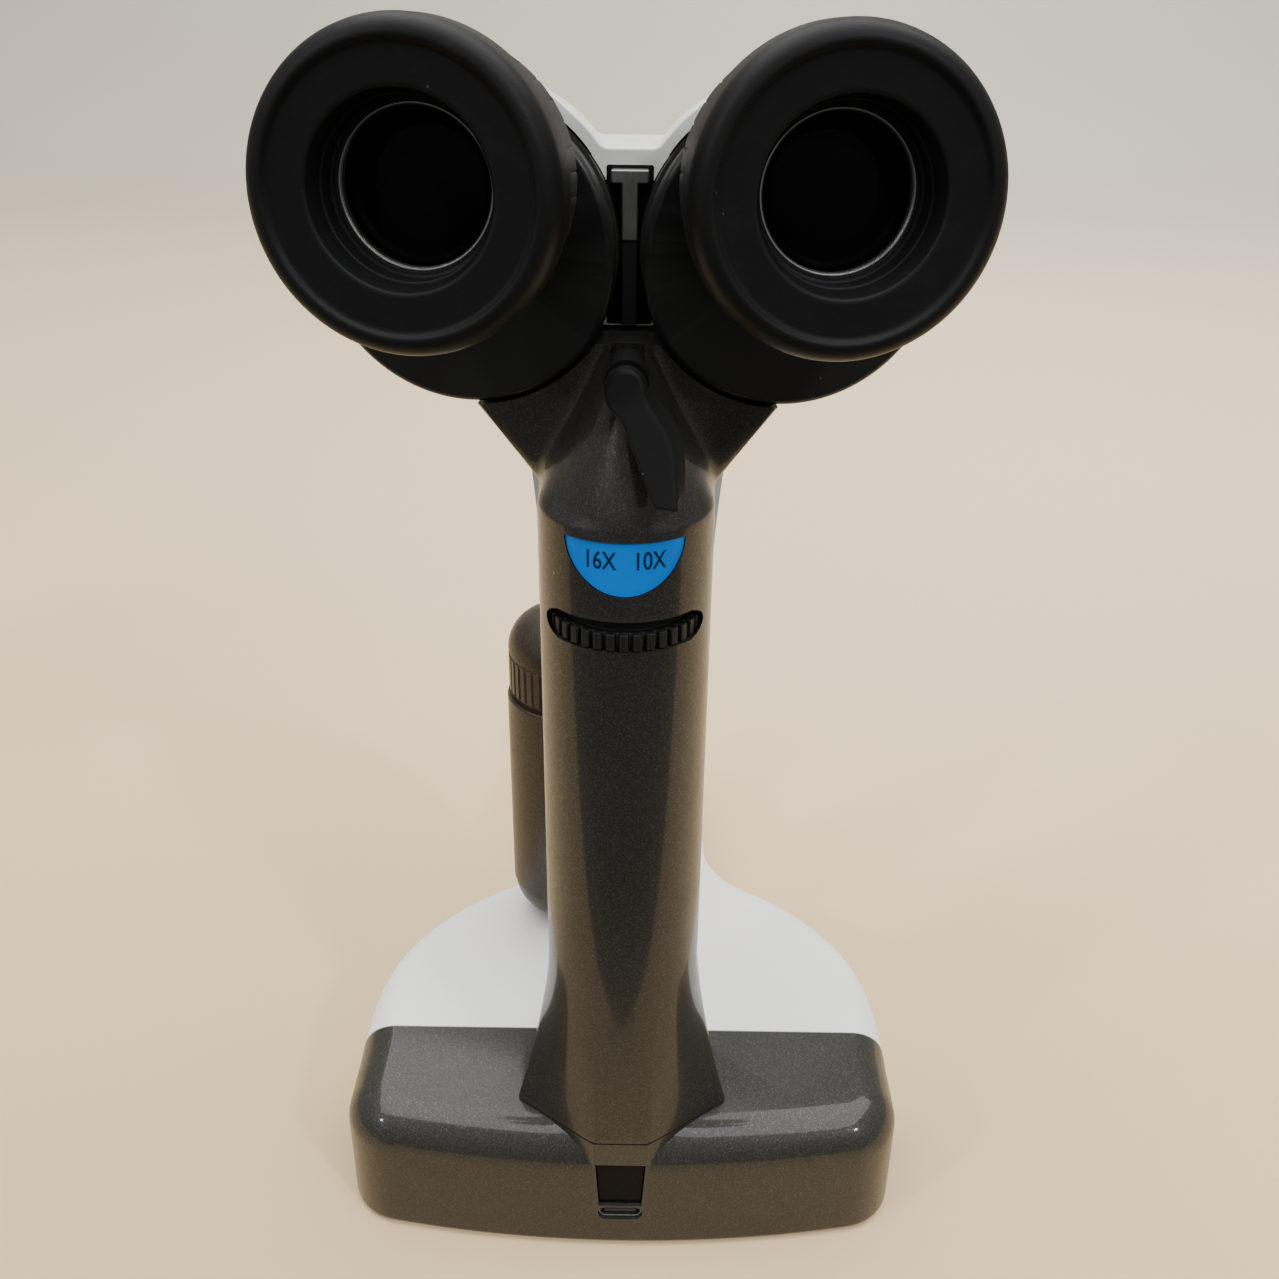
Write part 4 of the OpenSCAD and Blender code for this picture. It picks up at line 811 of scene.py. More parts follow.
def frontRing(z, grow=0.0):
    s = frontShell
    down = between(z, s["flareTop"], s["armTop"]) ** s["flarePower"]
    up = between(z, s["boxLow"], s["top"]) ** s["boxPower"]
    power = s["square"]
    ring = []
    for i in range(s["ringPoints"]):
        a = pi * i / (s["ringPoints"] - 1)
        reach = frontReach(a, s["halfX"], s["cornerY"], s["cornerRadius"], s["halfX"] + s["cornerRadius"])
        for part, half, front in ((down, s["flareHalf"], s["flareFront"]), (up, s["boxHalf"], s["boxFront"])):
            box = (abs(cos(a) / half) ** power + (sin(a) / (front - lamp["seamY"])) ** power) ** (-1 / power)
            reach += (box - reach) * part
        ring.append(((reach + grow) * cos(a), lamp["seamY"] + 0.05 + (reach + grow) * sin(a), z))
    return ring


def armRings():
    s = frontShell
    half = [(s["armHalf"], lamp["seamY"] + 0.3)]
    half += [(s["armHalf"], 2 + (s["armStraight"] - 2) * i / 8) for i in range(9)]
    half += arcPoints(0, lamp["pivotY"], s["endRadius"], 0, 90, 24)
    points = half + [(-x, y) for x, y in half[-2::-1]]
    rings = []
    for i in range(-5, 6):
        turn = between(abs(i) / 5, 0.2, 1.0) * pi / 2
        draw, lift = s["armEdge"] * (1 - cos(turn)), s["armEdge"] * sin(turn)
        base = s["armTop"] - s["armEdge"] + lift if i > 0 else s["armLow"] + s["armEdge"] - lift
        ring = []
        for x, y in points:
            ring.append((x * (1 - draw / s["armHalf"]), y - draw * smoothStep(y, 100, 137), base))
        rings.append(ring)
    return rings


def shellSpace(start, rise, count):
    # the rear shell's upper end with its gap, from start above the neck, over the height rise
    faces = footFaces()
    return loft([shellRing(shell["neck"] + start + rise * i / count, faces, shell["gap"]) for i in range(count + 1)])


def makeFrontShell():
    s = frontShell
    levels = [s["armTop"] - 2 + (s["flareTop"] - s["armTop"] + 2) * i / 20 for i in range(21)]
    levels += [s["flareTop"] + (s["boxLow"] - s["flareTop"]) * i / 30 for i in range(1, 31)]
    levels += [s["boxLow"] + (s["top"] - s["boxLow"]) * i / 24 for i in range(1, 25)]
    body = loft([frontRing(z) for z in levels])
    body = carve(body, [loft(armRings())], "UNION")
    inner = loft([frontRing(z, -s["wall"]) for z in (s["armTop"] - 2, 40, s["flareTop"], 100, s["boxLow"])])
    tools = [inner, shellSpace(-1, 27, 40),
             cylinder(s["pivotHole"], 0, 40, Matrix.Translation((0, lamp["pivotY"], 0))),
             outlinePlate(s["hollow"], s["hollowLow"], s["armTop"] - 2),
             cylinder(slot["wheelSpace"], slot["z"] - slot["height"] / 2, slot["z"] + slot["height"] / 2,
                      Matrix.Translation((0, slot["wheelY"], 0)), 64)]
    body = carve(body, tools)
    keep(body, "frontShell", "lamp", finishes["white"], ["front_shell"], bevel=0.3)
    print("front shell made")


makeFrontShell()

# White head: two lobes, the bridge and the slot of the bridge bracket

head = {"lobeX": 24.0, "radius": 23.8, "z": 201.1, "bridge": 214.5, "rear": -3.0, "front": 28.5, "frontEdge": 10.0,
        "rearEdge": 0.5, "wall": 2.0, "blockHalf": 9.0, "blockFront": 2.6, "blockLow": 186.5, "slotHalf": 3.75,
        "slotLow": 186.8, "slotTop": 211.9, "slotDeep": 2.0, "ringRadius": 14.0, "ringY": 22.0, "fillet": 2.2,
        "lobeFall": 1.0, "bridgeFall": 0.7, "bore": 24.2, "boreLow": -11.75, "boreHigh": -7.25, "spigot": 21.4,
        "spigotLow": -14.4, "spigotHigh": -8.0, "shadeLinerGap": 0.05, "shadeLinerWall": 0.5, "shadeLinerFloor": 0.3, "lens": 12.2,
        "lensLow": 2.3, "lensTop": 4.6, "lensCurve": 40.0,
        "ring": [(11.0, 0), (14.0, 0), (14.0, 8.0, 0.8), (12.9, 8.0, 0.3), (12.5, 5.6), (12.3, 5.4), (12.3, 2.0),
                 (11.0, 2.0, 0.2)]}
bracketBar = {"half": 1.3, "low": 187.1, "stem": 200.6, "top": 211.4, "crossHalf": 3.0, "cross": 209.3, "rear": -4.9,
              "front": -0.9, "stemBack": 0.3}


def headOutline(grow=0.0, share=0.0):
    # share: how far the lobes and the bridge have come down towards the front
    h = head
    radius, bottom = h["radius"] + grow - h["lobeFall"] * share, h["z"] - h["radius"] - grow
    middle = bottom + radius
    top = h["bridge"] + grow - h["bridgeFall"] * share - middle
    lift = h["fillet"]
    # a small hollow radius where the bridge meets a lobe
    centre = Vector((h["lobeX"] - sqrt((radius + lift) ** 2 - (top + lift) ** 2), middle + top + lift))
    meet = degrees(atan2(centre.y - middle, centre.x - h["lobeX"]))
    half = [(h["lobeX"] * i / 8, bottom) for i in range(8)]
    half += arcPoints(h["lobeX"], middle, radius, -90, meet, 64)
    half += arcPoints(centre.x, centre.y, lift, meet - 180, -90, 8)[1:]
    return half + [(0, middle + top)] + [(-x, z) for x, z in half[:0:-1]]


def headRings(low, high, lowEdge, highEdge, grow=0.0):
    rings = []
    for i in range(7):
        t = i / 6 * pi / 2
        rings.append((low + lowEdge * (1 - cos(t)), grow - lowEdge * (1 - sin(t))))
    for i in range(1, 10):
        rings.append((low + lowEdge + (high - highEdge - low - lowEdge) * i / 10, grow))
    for i in range(13):
        t = i / 12 * pi / 2
        rings.append((high - highEdge * (1 - sin(t)), grow - highEdge * (1 - cos(t))))
    start, end = head["rear"] + 3, head["front"] - head["frontEdge"]
    return [[(x, y, z) for x, z in headOutline(draw, smoothStep(y, start, end))] for y, draw in rings]


def spaceForHousings():
    h = head
    tools = []
    for side in (-1, 1):
        tools.append(cylinder(shell["drumSpace"], shell["collarRear"], 30.0, onDrum(side), 128))
        bore = cylinder(h["bore"], h["boreLow"], h["boreHigh"], onDrum(side), 128)
        trim = cylinder(h["bore"], -12.0, -7.0, trimOnDrum(side, lamp["collarTrim"]), 128)
        tools.append(carve(bore, [trim], "INTERSECT"))
        tools.append(cylinder(h["spigot"], h["spigotLow"], h["spigotHigh"], onDrum(side), 96))
    return tools


def makeHead():
    h = head
    body = loft(headRings(h["rear"], h["front"], h["rearEdge"], h["frontEdge"]))
    hollow = loft(headRings(h["rear"] - 3, h["front"] - h["wall"], 0.4, h["frontEdge"] - h["wall"], -h["wall"]))
    body = carve(body, [hollow])
    core = block((-h["blockHalf"], h["rear"], h["blockLow"]), (h["blockHalf"], h["blockFront"], h["bridge"] - 1), 0.4)
    body = carve(body, [core], "UNION")
    tools = [shellSpace(4, 21.25, 30),
             block((-h["slotHalf"], h["rear"] - 4, h["slotLow"]), (h["slotHalf"], h["rear"] + h["slotDeep"],
                                                                 h["slotTop"]), 0.4)]
    tools += [cylinder(h["ringRadius"] + 0.05, 0, 20, alongOptics(side, h["ringY"]), 96) for side in (-1, 1)]
    body = carve(body, spaceForHousings() + tools)
    keep(body, "headShell", "lamp", finishes["white"], ["head_shell"], bevel=0.3)
    bar = bracketBar
    upright = block((-bar["half"], bar["rear"], bar["stem"]), (bar["half"], bar["front"], bar["top"] - 0.4), 0.25)
    cross = block((-bar["crossHalf"], bar["rear"], bar["cross"]), (bar["crossHalf"], bar["front"], bar["top"]), 0.3)
    bracket = carve(upright, [cross], "UNION")
    keep(bracket, "bridgeBracket", "lamp", finishes["bracket"], ["bridge_bracket"])
    # painted shade: the bracket's lower stem, low between the drums, is finished black to stand in for the shade that
    # falls there; the upper bracket keeps its grey metal
    stem = block((-bar["half"], bar["rear"] + bar["stemBack"], bar["low"]),
                 (bar["half"], bar["front"], bar["stem"]), 0.25)
    keep(stem, "bracketStemPaintedShade", "lamp", finishes["housing"])
    # painted shade: a thin black liner lines the bracket's slot in the white head, a dark sheet standing in for the
    # shade inside the slot
    gap, wall, floor = h["shadeLinerGap"], h["shadeLinerWall"], h["rear"] + h["slotDeep"]
    shadeLiner = carve(block((-h["slotHalf"] + gap, h["rear"] + gap, h["slotLow"] + gap),
                        (h["slotHalf"] - gap, floor, h["slotTop"] - gap), 0.3),
                  [block((-h["slotHalf"] + wall, h["rear"] - 2, h["slotLow"] + wall),
                         (h["slotHalf"] - wall, floor - h["shadeLinerFloor"], h["slotTop"] - wall))])
    keep(shadeLiner, "slotShadeLiner", "lamp", finishes["baffle"])
    for side, name in ((-1, "Left"), (1, "Right")):
        ring = lathe(h["ring"], 128, alongOptics(side, h["ringY"]))
        keep(ring, "objectiveRing" + name, "lamp", finishes["ring"], ["objective_ring_" + name.lower()])
    lenses = [lensShape(h["lens"], h["lensLow"], h["lensTop"], h["lensCurve"], 12, 96, alongOptics(side, h["ringY"]))
              for side in (-1, 1)]
    keep(join(*lenses), "objectiveLenses", "lamp", finishes["glass"], ["objective_lenses"])
    print("head made")


makeHead()

# Prism housings and eyepieces

eye = {"drumRadius": 25.15, "drumTaper": 1.0, "spigot": 21.0, "spigotEnd": -14.0, "tube": 15.0, "ring": 19.6,
       "ringLow": 9.2, "ringTop": 17.0, "grooves": 36, "grooveDeep": 0.18, "neck": 17.4, "seat": 24.1,
       "cupRadius": 21.9, "cupLow": 17.1, "cupTop": 32.3, "lens": 11.0, "lensLow": 20.7,
       "lensTop": 23.7, "lensCurve": 30.0, "lightHole": 9.0, "ribShare": 0.82,
       "keeper": [(10.6, 22.6), (11.0, 22.6), (11.0, 23.95), (10.8, 23.95, 0.08), (10.6, 23.65)]}


def ribbedOutline(radius, deep, count, share=0.5, steps=3):
    points = []
    for i in range(count):
        first, last = 360 * (i - share / 2) / count, 360 * (i + share / 2) / count
        points += arcPoints(0, 0, radius, first, last, steps)
        points += arcPoints(0, 0, radius - deep, last + 1.0, 360 * (i + 1 - share / 2) / count - 1.0, steps)
    return points


def eyepiece(side, name):
    e = eye
    body = "housing_" + name.lower()
    wide = e["drumRadius"]
    taper = wide - e["drumTaper"]
    edge = [(wide, -0.3), (wide - 0.12, 0.3), (wide - 0.5, 0.75), (wide - 1.1, 1.0)]
    drum = lathe([(0, -0.6), (19.0, -0.6), (19.0, e["spigotEnd"]), (e["spigot"], e["spigotEnd"], 0.3),
                  (e["spigot"], -7.0), (taper, -7.0, 0.45)] + edge + [(0, 1.0)], 160, closed=False)
    drum = carve(drum, [cylinder(e["lightHole"], -3, 4, Matrix.Translation((0, lamp["eyeOffset"] - 0.5, 0)))])
    drum.transform(onDrum(side))
    trim = lathe([(40.0, -7.3), (taper - 0.3, -7.3), (taper, -7.0)] + edge + [(wide - 1.1, 2.0), (40.0, 2.0)],
                 160, trimOnDrum(side))
    drum = carve(drum, [trim])
    keep(drum, "prismHousing" + name, body, finishes["housing"], ["prism_housing_" + name.lower()])
    tube = lathe([(12.0, 1.0), (16.1, 1.0), (16.1, 1.7, 0.3), (15.4, 2.1), (15.0, 2.8), (e["tube"], 8.0),
                  (e["tube"], 19.2, 0.3), (12.0, 19.2, 0.3)], 128, onEye(side))
    keep(tube, "eyeTube" + name, body, finishes["housing"], ["eye_tube_" + name.lower()])
    body = "eyepiece_" + name.lower()
    ribs = ribbedOutline(e["ring"], e["grooveDeep"], e["grooves"], e["ribShare"])
    grip = outlinePlate(ribs, e["ringLow"], e["ringTop"])
    grip = carve(grip, [cylinder(e["tube"] + 0.08, 0, 30, steps=96)])
    grip.transform(onEye(side))
    keep(grip, "dioptreRing" + name, body, finishes["ring"], ["dioptre_ring_" + name.lower()], bevel=0.22)
    # the cell's closed back disc is painted shade: a black sheet behind the eye lens where the inside of the eyepiece
    # is only shade; the rest of the cell is the real black lens mount
    core = lathe([(0, 20.2), (0, 19.7), (15.1, 19.7), (15.1, e["ringTop"] - 0.4), (e["neck"], e["ringTop"] - 0.4),
                  (e["neck"], e["seat"]), (e["lens"] + 0.1, e["seat"], 0.15), (e["lens"] + 0.1, e["lensLow"] - 0.1),
                  (10.2, e["lensLow"] - 0.1), (9.8, 20.2)], 128, onEye(side), closed=False)
    keep(core, "lensCellAndShadeDisc" + name, body, finishes["baffle"])
    low, top, rim = e["cupLow"], e["cupTop"], e["cupRadius"]
    wall = [(11.5, e["seat"]), (11.55, 24.6), (11.9, 24.75), (11.95, 25.4), (12.0, 27.6), (12.25, 27.75),
            (12.35, 29.4)]
    lip = [(12.9, 30.9), (13.0, 31.2), (13.3, 31.38), (13.7, 31.4), (17.9, 31.5), (18.3, 31.55), (18.6, 31.75),
           (18.85, 32.1), (19.15, top - 0.05), (19.6, top - 0.1), (20.2, 32.0), (20.75, 31.62), (21.2, 31.1),
           (21.55, 30.4), (21.78, 29.7), (rim, 28.9)]
    outside = [(rim, 24.6), (21.75, 23.9), (21.35, 23.35), (20.2, 22.95), (19.95, 22.75), (19.85, 22.3),
               (19.95, 21.95), (20.2, 21.75), (20.4, 21.4), (20.4, 17.5), (20.15, low), (e["neck"] + 0.05, low),
               (e["neck"] + 0.05, e["seat"])]
    cup = lathe(wall + lip + outside, 160, onEye(side))
    keep(cup, "eyecup" + name, body, finishes["rubber"], ["eyecup_" + name.lower()], crease=50)
    # painted shade: the eye lens is drawn opaque and near-black in place of clear glass with the shaded tube behind
    # it
    lens = lensShape(e["lens"], e["lensLow"], e["lensTop"], e["lensCurve"], 14, 128, onEye(side))
    keep(lens, "eyeLens" + name, body, finishes["eyeLensShadeBlack"], ["eye_lens_" + name.lower()])
    keep(lathe(e["keeper"], 128, onEye(side)), "lensRing" + name, body, finishes["bracket"], even=False)


eyepiece(-1, "Left")
eyepiece(1, "Right")
print("eyepieces made")

# Magnification lever, thumbwheel and scale label

lever = {"hub": 3.4, "length": 16.9, "tipX": 2.4, "tipCorner": 0.9, "backX": -1.7, "backRise": 1.1, "backCorner": 1.0,
         "backMeet": 230, "side": [(4.0, -2.2), (4.9, -4.2), (5.5, -6.2), (5.7, -8.2), (5.35, -10.6), (4.5, -13.0),
                                   (3.4, -15.3)],
         "drop": 13.0, "thick": 2.7, "edge": 0.7, "backEdge": 0.2, "draft": 1.9, "y": -25.6, "tipY": -33.1}
wheel = {"radius": 12.9, "deep": 1.0, "ribs": 36, "share": 0.58, "half": 2.3, "thick": 2.9, "core": 11.0, "hub": 4.0,
         "axle": 1.5, "axleEnd": 3.4, "axleStart": 5.4}


def makeLever():
    v = lever
    end, corner = -v["length"], v["tipCorner"]
    right = arcPoints(0, 0, v["hub"], 90, -10, 16) + v["side"]
    right += arcPoints(v["tipX"] - corner, end + corner, corner, 0, -80, 6)
    corner = v["backCorner"]
    left = arcPoints(v["backX"] + corner, end + v["backRise"] + corner, corner, 260, 190, 7)
    left += arcPoints(0, 0, v["hub"], 100, v["backMeet"], 20)[::-1]
    slope = (v["tipY"] - v["y"]) / -v["drop"]
    rings = []
    for i in range(11):
        t = max(i - 2, 0) / 8
        turn = t * pi / 2
        draw = v["backEdge"] * (1 - i / 2) if i < 3 else v["edge"] * (1 - cos(turn))
        deep = v["backEdge"] * i / 2 if i < 3 else v["thick"] - v["edge"] * (1 - sin(turn))
        ring = []
        for x, z in right + left:
            middle = 0.0 if z > 0 else max(z, -v["drop"])
            reach = max(hypot(x, z - middle), 1e-6)
            lean = v["draft"] * (deep / v["thick"]) * max(x / reach, 0.0) * smoothStep(-z, -2.0, 5.0)
            px, pz = x - x / reach * (draw + lean), z - (z - middle) / reach * draw
            ring.append((px, v["y"] - deep + slope * pz, pz))
        rings.append(ring)
    blade = loft(rings)
    turn = Matrix.Rotation(radians(-lamp["leverAngle"]), 4, "Y")
    blade.transform(Matrix.Translation((0, 0, lamp["leverZ"])) @ turn)
    keep(blade, "leverBlade", "mag_lever", finishes["lever"], ["mag_lever"], crease=40)


def makeWheel():
    w = wheel
    low, high, end = slot["z"] - w["half"], slot["z"] + w["half"], slot["z"] + w["half"] + w["axleEnd"]
    ribs = outlinePlate(ribbedOutline(w["radius"], w["deep"], w["ribs"], w["share"]), low, low + w["thick"])
    drum = lathe([(0, low), (w["core"], low), (w["core"], high, 0.5), (w["hub"], high), (w["hub"] - 0.6, high - 0.6),
                  (w["axle"], high - 0.6), (w["axle"], end, 0.15), (0, end)], 96, closed=False)
    axle = cylinder(w["axle"], low - w["axleStart"], low + 1)
    ribs = carve(ribs, [drum, axle], "UNION")
    ribs.transform(Matrix.Translation((0, slot["wheelY"], 0)))
    keep(ribs, "thumbwheel", "dimmer_wheel", finishes["ring"], ["dimmer_wheel"], bevel=0.25)


def figure(text, angle, name):
    # figures laid round the handle, their middle at the angle from the middle of the label
    curve = bpy.data.curves.new(name, "FONT")
    curve.body, curve.size = text, label["figureHeight"] / label["figureShare"]
    curve.align_x, curve.align_y = "CENTER", "CENTER"
    curve.extrude, curve.offset = label["figureRise"], label["figureWeight"]
    obj = bpy.data.objects.new(name, curve)
    scene.collection.objects.link(obj)
    bpy.context.view_layer.update()
    mesh = bpy.data.meshes.new_from_object(obj.evaluated_get(bpy.context.evaluated_depsgraph_get()))
    bm = bmesh.new()
    bm.from_mesh(mesh)
    bpy.data.objects.remove(obj)
    bpy.data.curves.remove(curve)
    bpy.data.meshes.remove(mesh)
    bmesh.ops.subdivide_edges(bm, edges=[e for e in bm.edges if e.calc_length() > 0.5], cuts=2)
    bmesh.ops.triangulate(bm, faces=bm.faces)
    radius = lamp["handleRadius"] - label["sunk"] + label["thick"]
    for v in bm.verts:
        turn = radians(angle) + v.co.x * label["figureWidth"] / radius
        reach = radius + v.co.z + label["figureRise"]
        v.co = (reach * sin(turn), lamp["handleY"] - reach * cos(turn), label["figureZ"] + v.co.y)
    return bm


def makeLabel():
    radius = lamp["handleRadius"] - label["sunk"]
    plate = labelCutter(-label["gap"], radius + 0.05, radius + label["thick"])
    keep(plate, "scaleLabel", "lamp", finishes["label"], ["scale_label"], bevel=0.08)
    text = join(figure("16X", -label["figureTurn"], "figureLeft"), figure("10X", label["figureTurn"], "figureRight"))
    keep(text, "scaleFigures", "lamp", finishes["ink"], even=False)


makeLever()
makeWheel()
makeLabel()
print("controls made")

# Swing arm, lighting tower and mirror head

tower = {"low": 31.0, "radius": 14.0, "capRadius": 13.7, "capRound": 8.7, "top": 91.0, "neck": 12.8, "neckTop": 92.3,
         "wall": 3.0, "dial": 92.6, "dialRadius": 13.5, "dialHeight": 18.0, "ribs": 40, "upper": 6.2,
         "upperLow": 98.6, "upperTop": 188.9, "tubeLow": 40.0, "headLow": 186.9, "headRadius": 8.6,
         "headHeight": 24.0, "mirror": 198.9, "reach": 80.0,
         "hub": 14.0, "hubLow": 29.9, "hubTop": 43.9, "hubRoof": 2.0, "pin": 4.0, "bar": 7.0, "barLow": 33.0,
         "barTop": 43.7, "capTop": 39.85, "plug": 10.9, "plugTop": 43.6, "bore": 4.8, "dialShare": 0.55,
         "dialRib": 0.4, "ribShare": 0.62, "headBore": 4.85, "windowHalf": 5.2, "windowHeight": 7.0,
         "mirrorHalf": 5.0, "mirrorLength": 7.0, "mirrorThick": 0.6}


def makeSwing():
    t = tower
    onPivot, roof = onTower() @ Matrix.Translation((0, t["reach"], 0)), t["hubTop"] - t["hubRoof"]
    hub = lathe([(t["pin"], t["hubLow"]), (t["hub"], t["hubLow"], 0.6), (t["hub"], t["hubTop"], 1.6),
                 (0, t["hubTop"]), (0, roof), (t["pin"], roof)], 96, onPivot)
    bar = block((-t["bar"], 0, t["barLow"]), (t["bar"], t["reach"], t["barTop"]), 1.6, onTower(), 4)
    arm = carve(hub, [bar], "UNION")
    arm = carve(arm, [cylinder(t["radius"] + 0.02, 20, 100, onTower(), 96), cylinder(t["pin"], 20, roof, onPivot)])
    keep(arm, "swingArm", "swing_arm", finishes["towerPaint"], ["swing_arm"], crease=38, bevel=0.3)
    centre = t["capRadius"] - t["capRound"]
    rounding = arcPoints(centre, t["low"] + t["capRound"], t["capRound"], -90, 0, 10)
    cap = lathe([(0, t["low"])] + rounding + [(t["capRadius"], t["capTop"], 0.15), (t["plug"], t["capTop"]),
                                              (t["plug"], t["plugTop"]), (0, t["plugTop"])],
                128, onTower(), closed=False)
    keep(cap, "towerCap", "swing_arm", finishes["towerPaint"], ["tower_cap"])
    wall = t["radius"] - t["wall"]
    tube = lathe([(wall, t["tubeLow"]), (t["radius"], t["tubeLow"], 0.25), (t["radius"], 60.0),
                  (t["radius"], t["top"], 0.5), (t["neck"], t["top"]), (t["neck"], t["neckTop"], 0.15),
                  (wall, t["neckTop"])], 128, onTower())
    keep(tube, "towerTube", "swing_arm", finishes["towerPaint"], ["tower_tube"])
    middle = t["dial"] + t["dialHeight"] * t["dialShare"]
    dome = t["dialHeight"] * (1 - t["dialShare"])
    rounding = arcPoints(t["dialRadius"] - dome, middle, dome, 0, 90, 10)
    inside, groove = t["upper"] + 0.05, t["dialRadius"] - 0.2
    shoulder = lathe([(inside, middle - 2), (groove, middle - 2), (groove, middle - 0.3)] + rounding
                     + [(inside, middle + dome)], 128, onTower())
    keep(shoulder, "dialShoulder", "slit_dial", finishes["towerPaint"], ["slit_dial"])
    ribs = ribbedOutline(t["dialRadius"], t["dialRib"], t["ribs"], t["ribShare"])
    grip = carve(outlinePlate(ribs, t["dial"], middle - 1.2),
                 [cylinder(t["dialRadius"] - 3, t["dial"] - 1, t["dial"] + 5, steps=96),
                  cylinder(inside, t["dial"] - 1, middle + 2, steps=96)])
    grip.transform(onTower())
    keep(grip, "dialGrip", "slit_dial", finishes["towerPaint"], bevel=0.2)
    upper = lathe([(t["bore"], t["upperLow"]), (t["upper"], t["upperLow"], 0.2), (t["upper"], t["upperTop"], 0.2),
                   (t["bore"], t["upperTop"])], 96, onTower())
    keep(upper, "upperTube", "swing_arm", finishes["towerPaint"], ["upper_tube"])
    low, bore, seat, wide = t["headLow"], t["headBore"], t["upper"] + 0.02, t["headRadius"]
    top = low + t["headHeight"]
    shellTop = lathe([(bore, low + 13.0), (bore, low + 2.0), (seat, low + 2.0), (seat, low), (wide, low, 0.6),
                      (wide, low + 2.2), (wide - 0.35, low + 2.5), (wide, low + 2.8), (wide, top, 2.2), (0, top),
                      (0, top - 11)], 128, closed=False)
    opening = block((-t["windowHalf"], -t["upper"], t["mirror"] - t["windowHeight"]),
                    (t["windowHalf"], 30, t["mirror"] + t["windowHeight"]), 0.5)
    shellTop = carve(shellTop, [opening])
    shellTop.transform(onTower())
    keep(shellTop, "mirrorHead", "swing_arm", finishes["ring"], ["mirror_head"], bevel=0.15)
    half = (t["mirrorHalf"], t["mirrorLength"], t["mirrorThick"])
    plate = block([-side for side in half], half, 0.15,
                  onTower() @ Matrix.Translation((0, 0, t["mirror"])) @ Matrix.Rotation(radians(45), 4, "X"))
    keep(plate, "tiltedMirror", "swing_arm", finishes["mirror"], ["mirror"])
    print("swing arm made")


makeSwing()

# Finishes of the pieces kept as the frame has them

hidden = {"stand_bottom_plate": "chip", "base_pad": "pad", "stand_ballast": "steel", "stand_board": "board",
          "contact_block": "chip", "stand_screws": "steel", "spring_pins": "brass", "arm_cover": "white",
          "foot_block": "chip", "foot_contacts": "brass", "battery": "cell", "main_board": "board",
          "dimmer_pot": "chip", "optics_chassis": "aluminium", "carriage_rails": "steel", "lever_bush": "lever",
          "pivot_bush": "brass", "shell_screws": "steel", "mag_shaft": "steel", "lens_carriage": "baffle",
          "carriage_lenses": "glass", "prism_left": "glass", "prism_right": "glass", "pivot_pin": "steel",
          "heat_sink": "aluminium", "lamp_led": "led", "condenser_lens": "glass", "slit_disc": "steel"}
for node, finish in hidden.items():
    data = cad[node].data
    data.materials.clear()
    data.materials.append(finishes[finish])
print("kept pieces finished:", len(hidden))

# Camera, light and floor

def makeCamera():
    c = cameraSettings
    down, yaw, roll = radians(c["down"]), radians(c["yaw"]), radians(c["roll"])
    ahead = Vector((sin(yaw) * cos(down), cos(yaw) * cos(down), -sin(down)))
    right = Vector((cos(yaw), -sin(yaw), 0))
    below = ahead.cross(right)
    right, below = right * cos(roll) - below * sin(roll), right * sin(roll) + below * cos(roll)
    data = bpy.data.cameras.new("photoView")
    data.sensor_width, data.sensor_fit = c["sensor"], "HORIZONTAL"
    data.lens = c["focal"] / c["frameWidth"] * c["sensor"]
    data.clip_start, data.clip_end = 0.01, 20
    camera = bpy.data.objects.new("photoView", data)
    turn = Matrix((right, -below, -ahead)).transposed().to_4x4()
    camera.matrix_world = Matrix.Translation(Vector(c["place"]) / 1000) @ turn
    scene.collection.objects.link(camera)
    scene.camera = camera


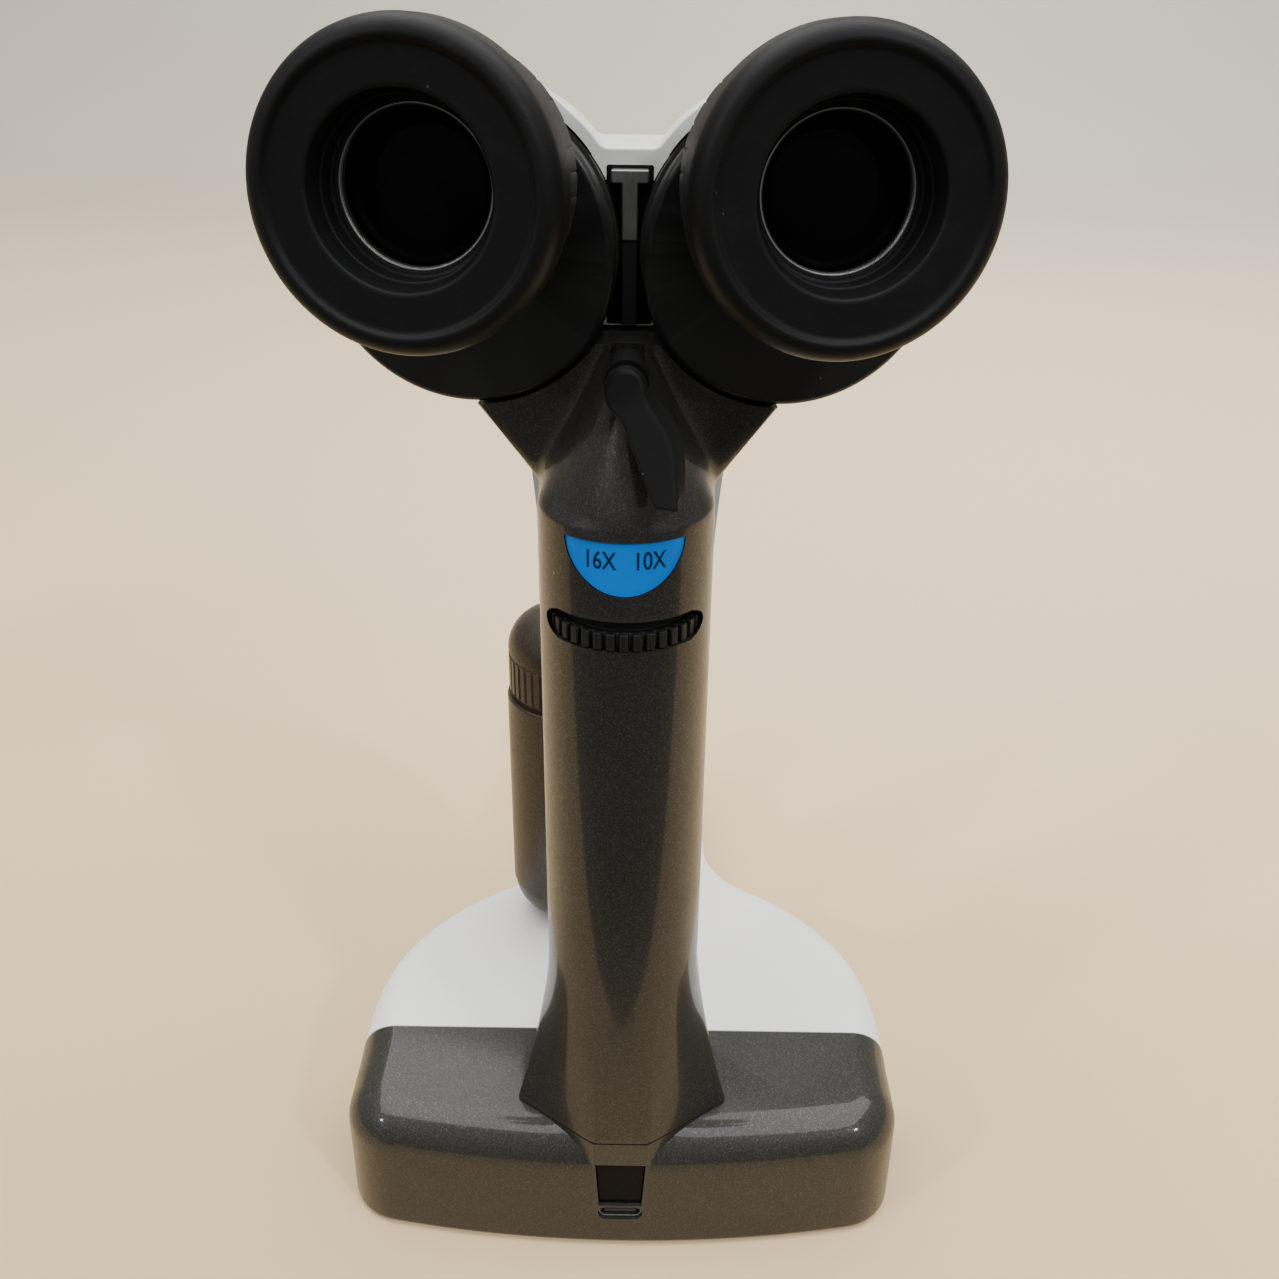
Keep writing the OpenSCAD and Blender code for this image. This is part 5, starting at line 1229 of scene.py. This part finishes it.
lights = {"left": {"place": (-0.95, -0.75, 0.95), "aim": (0, 0, 0.12), "size": 0.12, "power": 3.5},
          "right": {"place": (0.75, -0.95, 1.05), "aim": (0, 0, 0.12), "size": 0.10, "power": 5.0},
          "top": {"place": (0.05, 0.20, 1.6), "aim": (0, 0.05, 0.1), "size": 2.2, "power": 68.0}}
# the room includes the floor's painted side shade: a darker colour and the span along x over which it fades out
room = {"sky": (0.80, 0.80, 0.79), "fall": (-0.35, 0.35, 0.13, 0.62), "floor": (0.93, 0.70, 0.40),
        "back": (0.60, 0.58, 0.52), "paintedSideShade": (0.84, 0.82, 0.79), "near": -0.10, "far": 1.2, "bend": 0.5, "wall": 2.4,
        "half": 3.0, "cloud": (5.0, 4.0), "warmth": 1.05, "paintedSideShadeSpan": (-0.45, 0.3), "rough": 0.5,
        "grain": (30.0, 0.12)}


def makeStage():
    for name, look in lights.items():
        data = bpy.data.lights.new(name, "AREA")
        data.shape, data.size, data.energy = "SQUARE", look["size"], look["power"]
        lightObject = bpy.data.objects.new(name, data)
        place, aim = Vector(look["place"]), Vector(look["aim"])
        turn = (aim - place).to_track_quat("-Z", "Y").to_matrix().to_4x4()
        lightObject.matrix_world = Matrix.Translation(place) @ turn
        scene.collection.objects.link(lightObject)
    world = bpy.data.worlds.new("studio")
    world.use_nodes = True
    tree = world.node_tree
    where = tree.nodes.new("ShaderNodeTexCoord")
    split = tree.nodes.new("ShaderNodeSeparateXYZ")
    ramp = tree.nodes.new("ShaderNodeMapRange")
    tree.links.new(where.outputs["Generated"], split.inputs[0])
    tree.links.new(split.outputs[2], ramp.inputs["Value"])
    for name, value in zip(("From Min", "From Max", "To Min", "To Max"), room["fall"]):
        ramp.inputs[name].default_value = value
    tree.nodes["Background"].inputs["Color"].default_value = (*room["sky"], 1)
    tree.links.new(ramp.outputs[0], tree.nodes["Background"].inputs["Strength"])
    scene.world = world
    profile = [(room["near"], -0.03), (room["near"], 0.0), (room["far"], 0.0)]
    profile += arcPoints(room["far"], room["bend"], room["bend"], -90, 0, 16)[1:]
    profile.append((profile[-1][0], room["wall"]))
    bm = loft([[(x, y, z) for y, z in profile] for x in (-room["half"], room["half"])], False, False)
    for face in bm.faces:
        face.smooth = True
    floor = dropIn(bm, "floor")
    f = Finish("paleFloor", IOR=1.45)
    warm = f.blend(f.noise(*room["cloud"]), room["floor"], [c * room["warmth"] for c in room["floor"]])
    shade = f.blend(f.range(f.along(1), 0.0, room["far"] + room["bend"], smooth=False), warm, room["back"])
    # painted shade: the floor is darkened towards its left side (-x), in place of light falling off there
    paintedSideShade = f.blend(f.range(f.along(0), *room["paintedSideShadeSpan"]), room["paintedSideShade"], (1, 1, 1))
    shade = f.blend(1.0, shade, paintedSideShade, "MULTIPLY")
    scale, depth = room["grain"]
    floor.data.materials.append(f.paint(Base_Color=shade, Roughness=room["rough"] + f.noise(scale) * depth))


makeCamera()
makeStage()
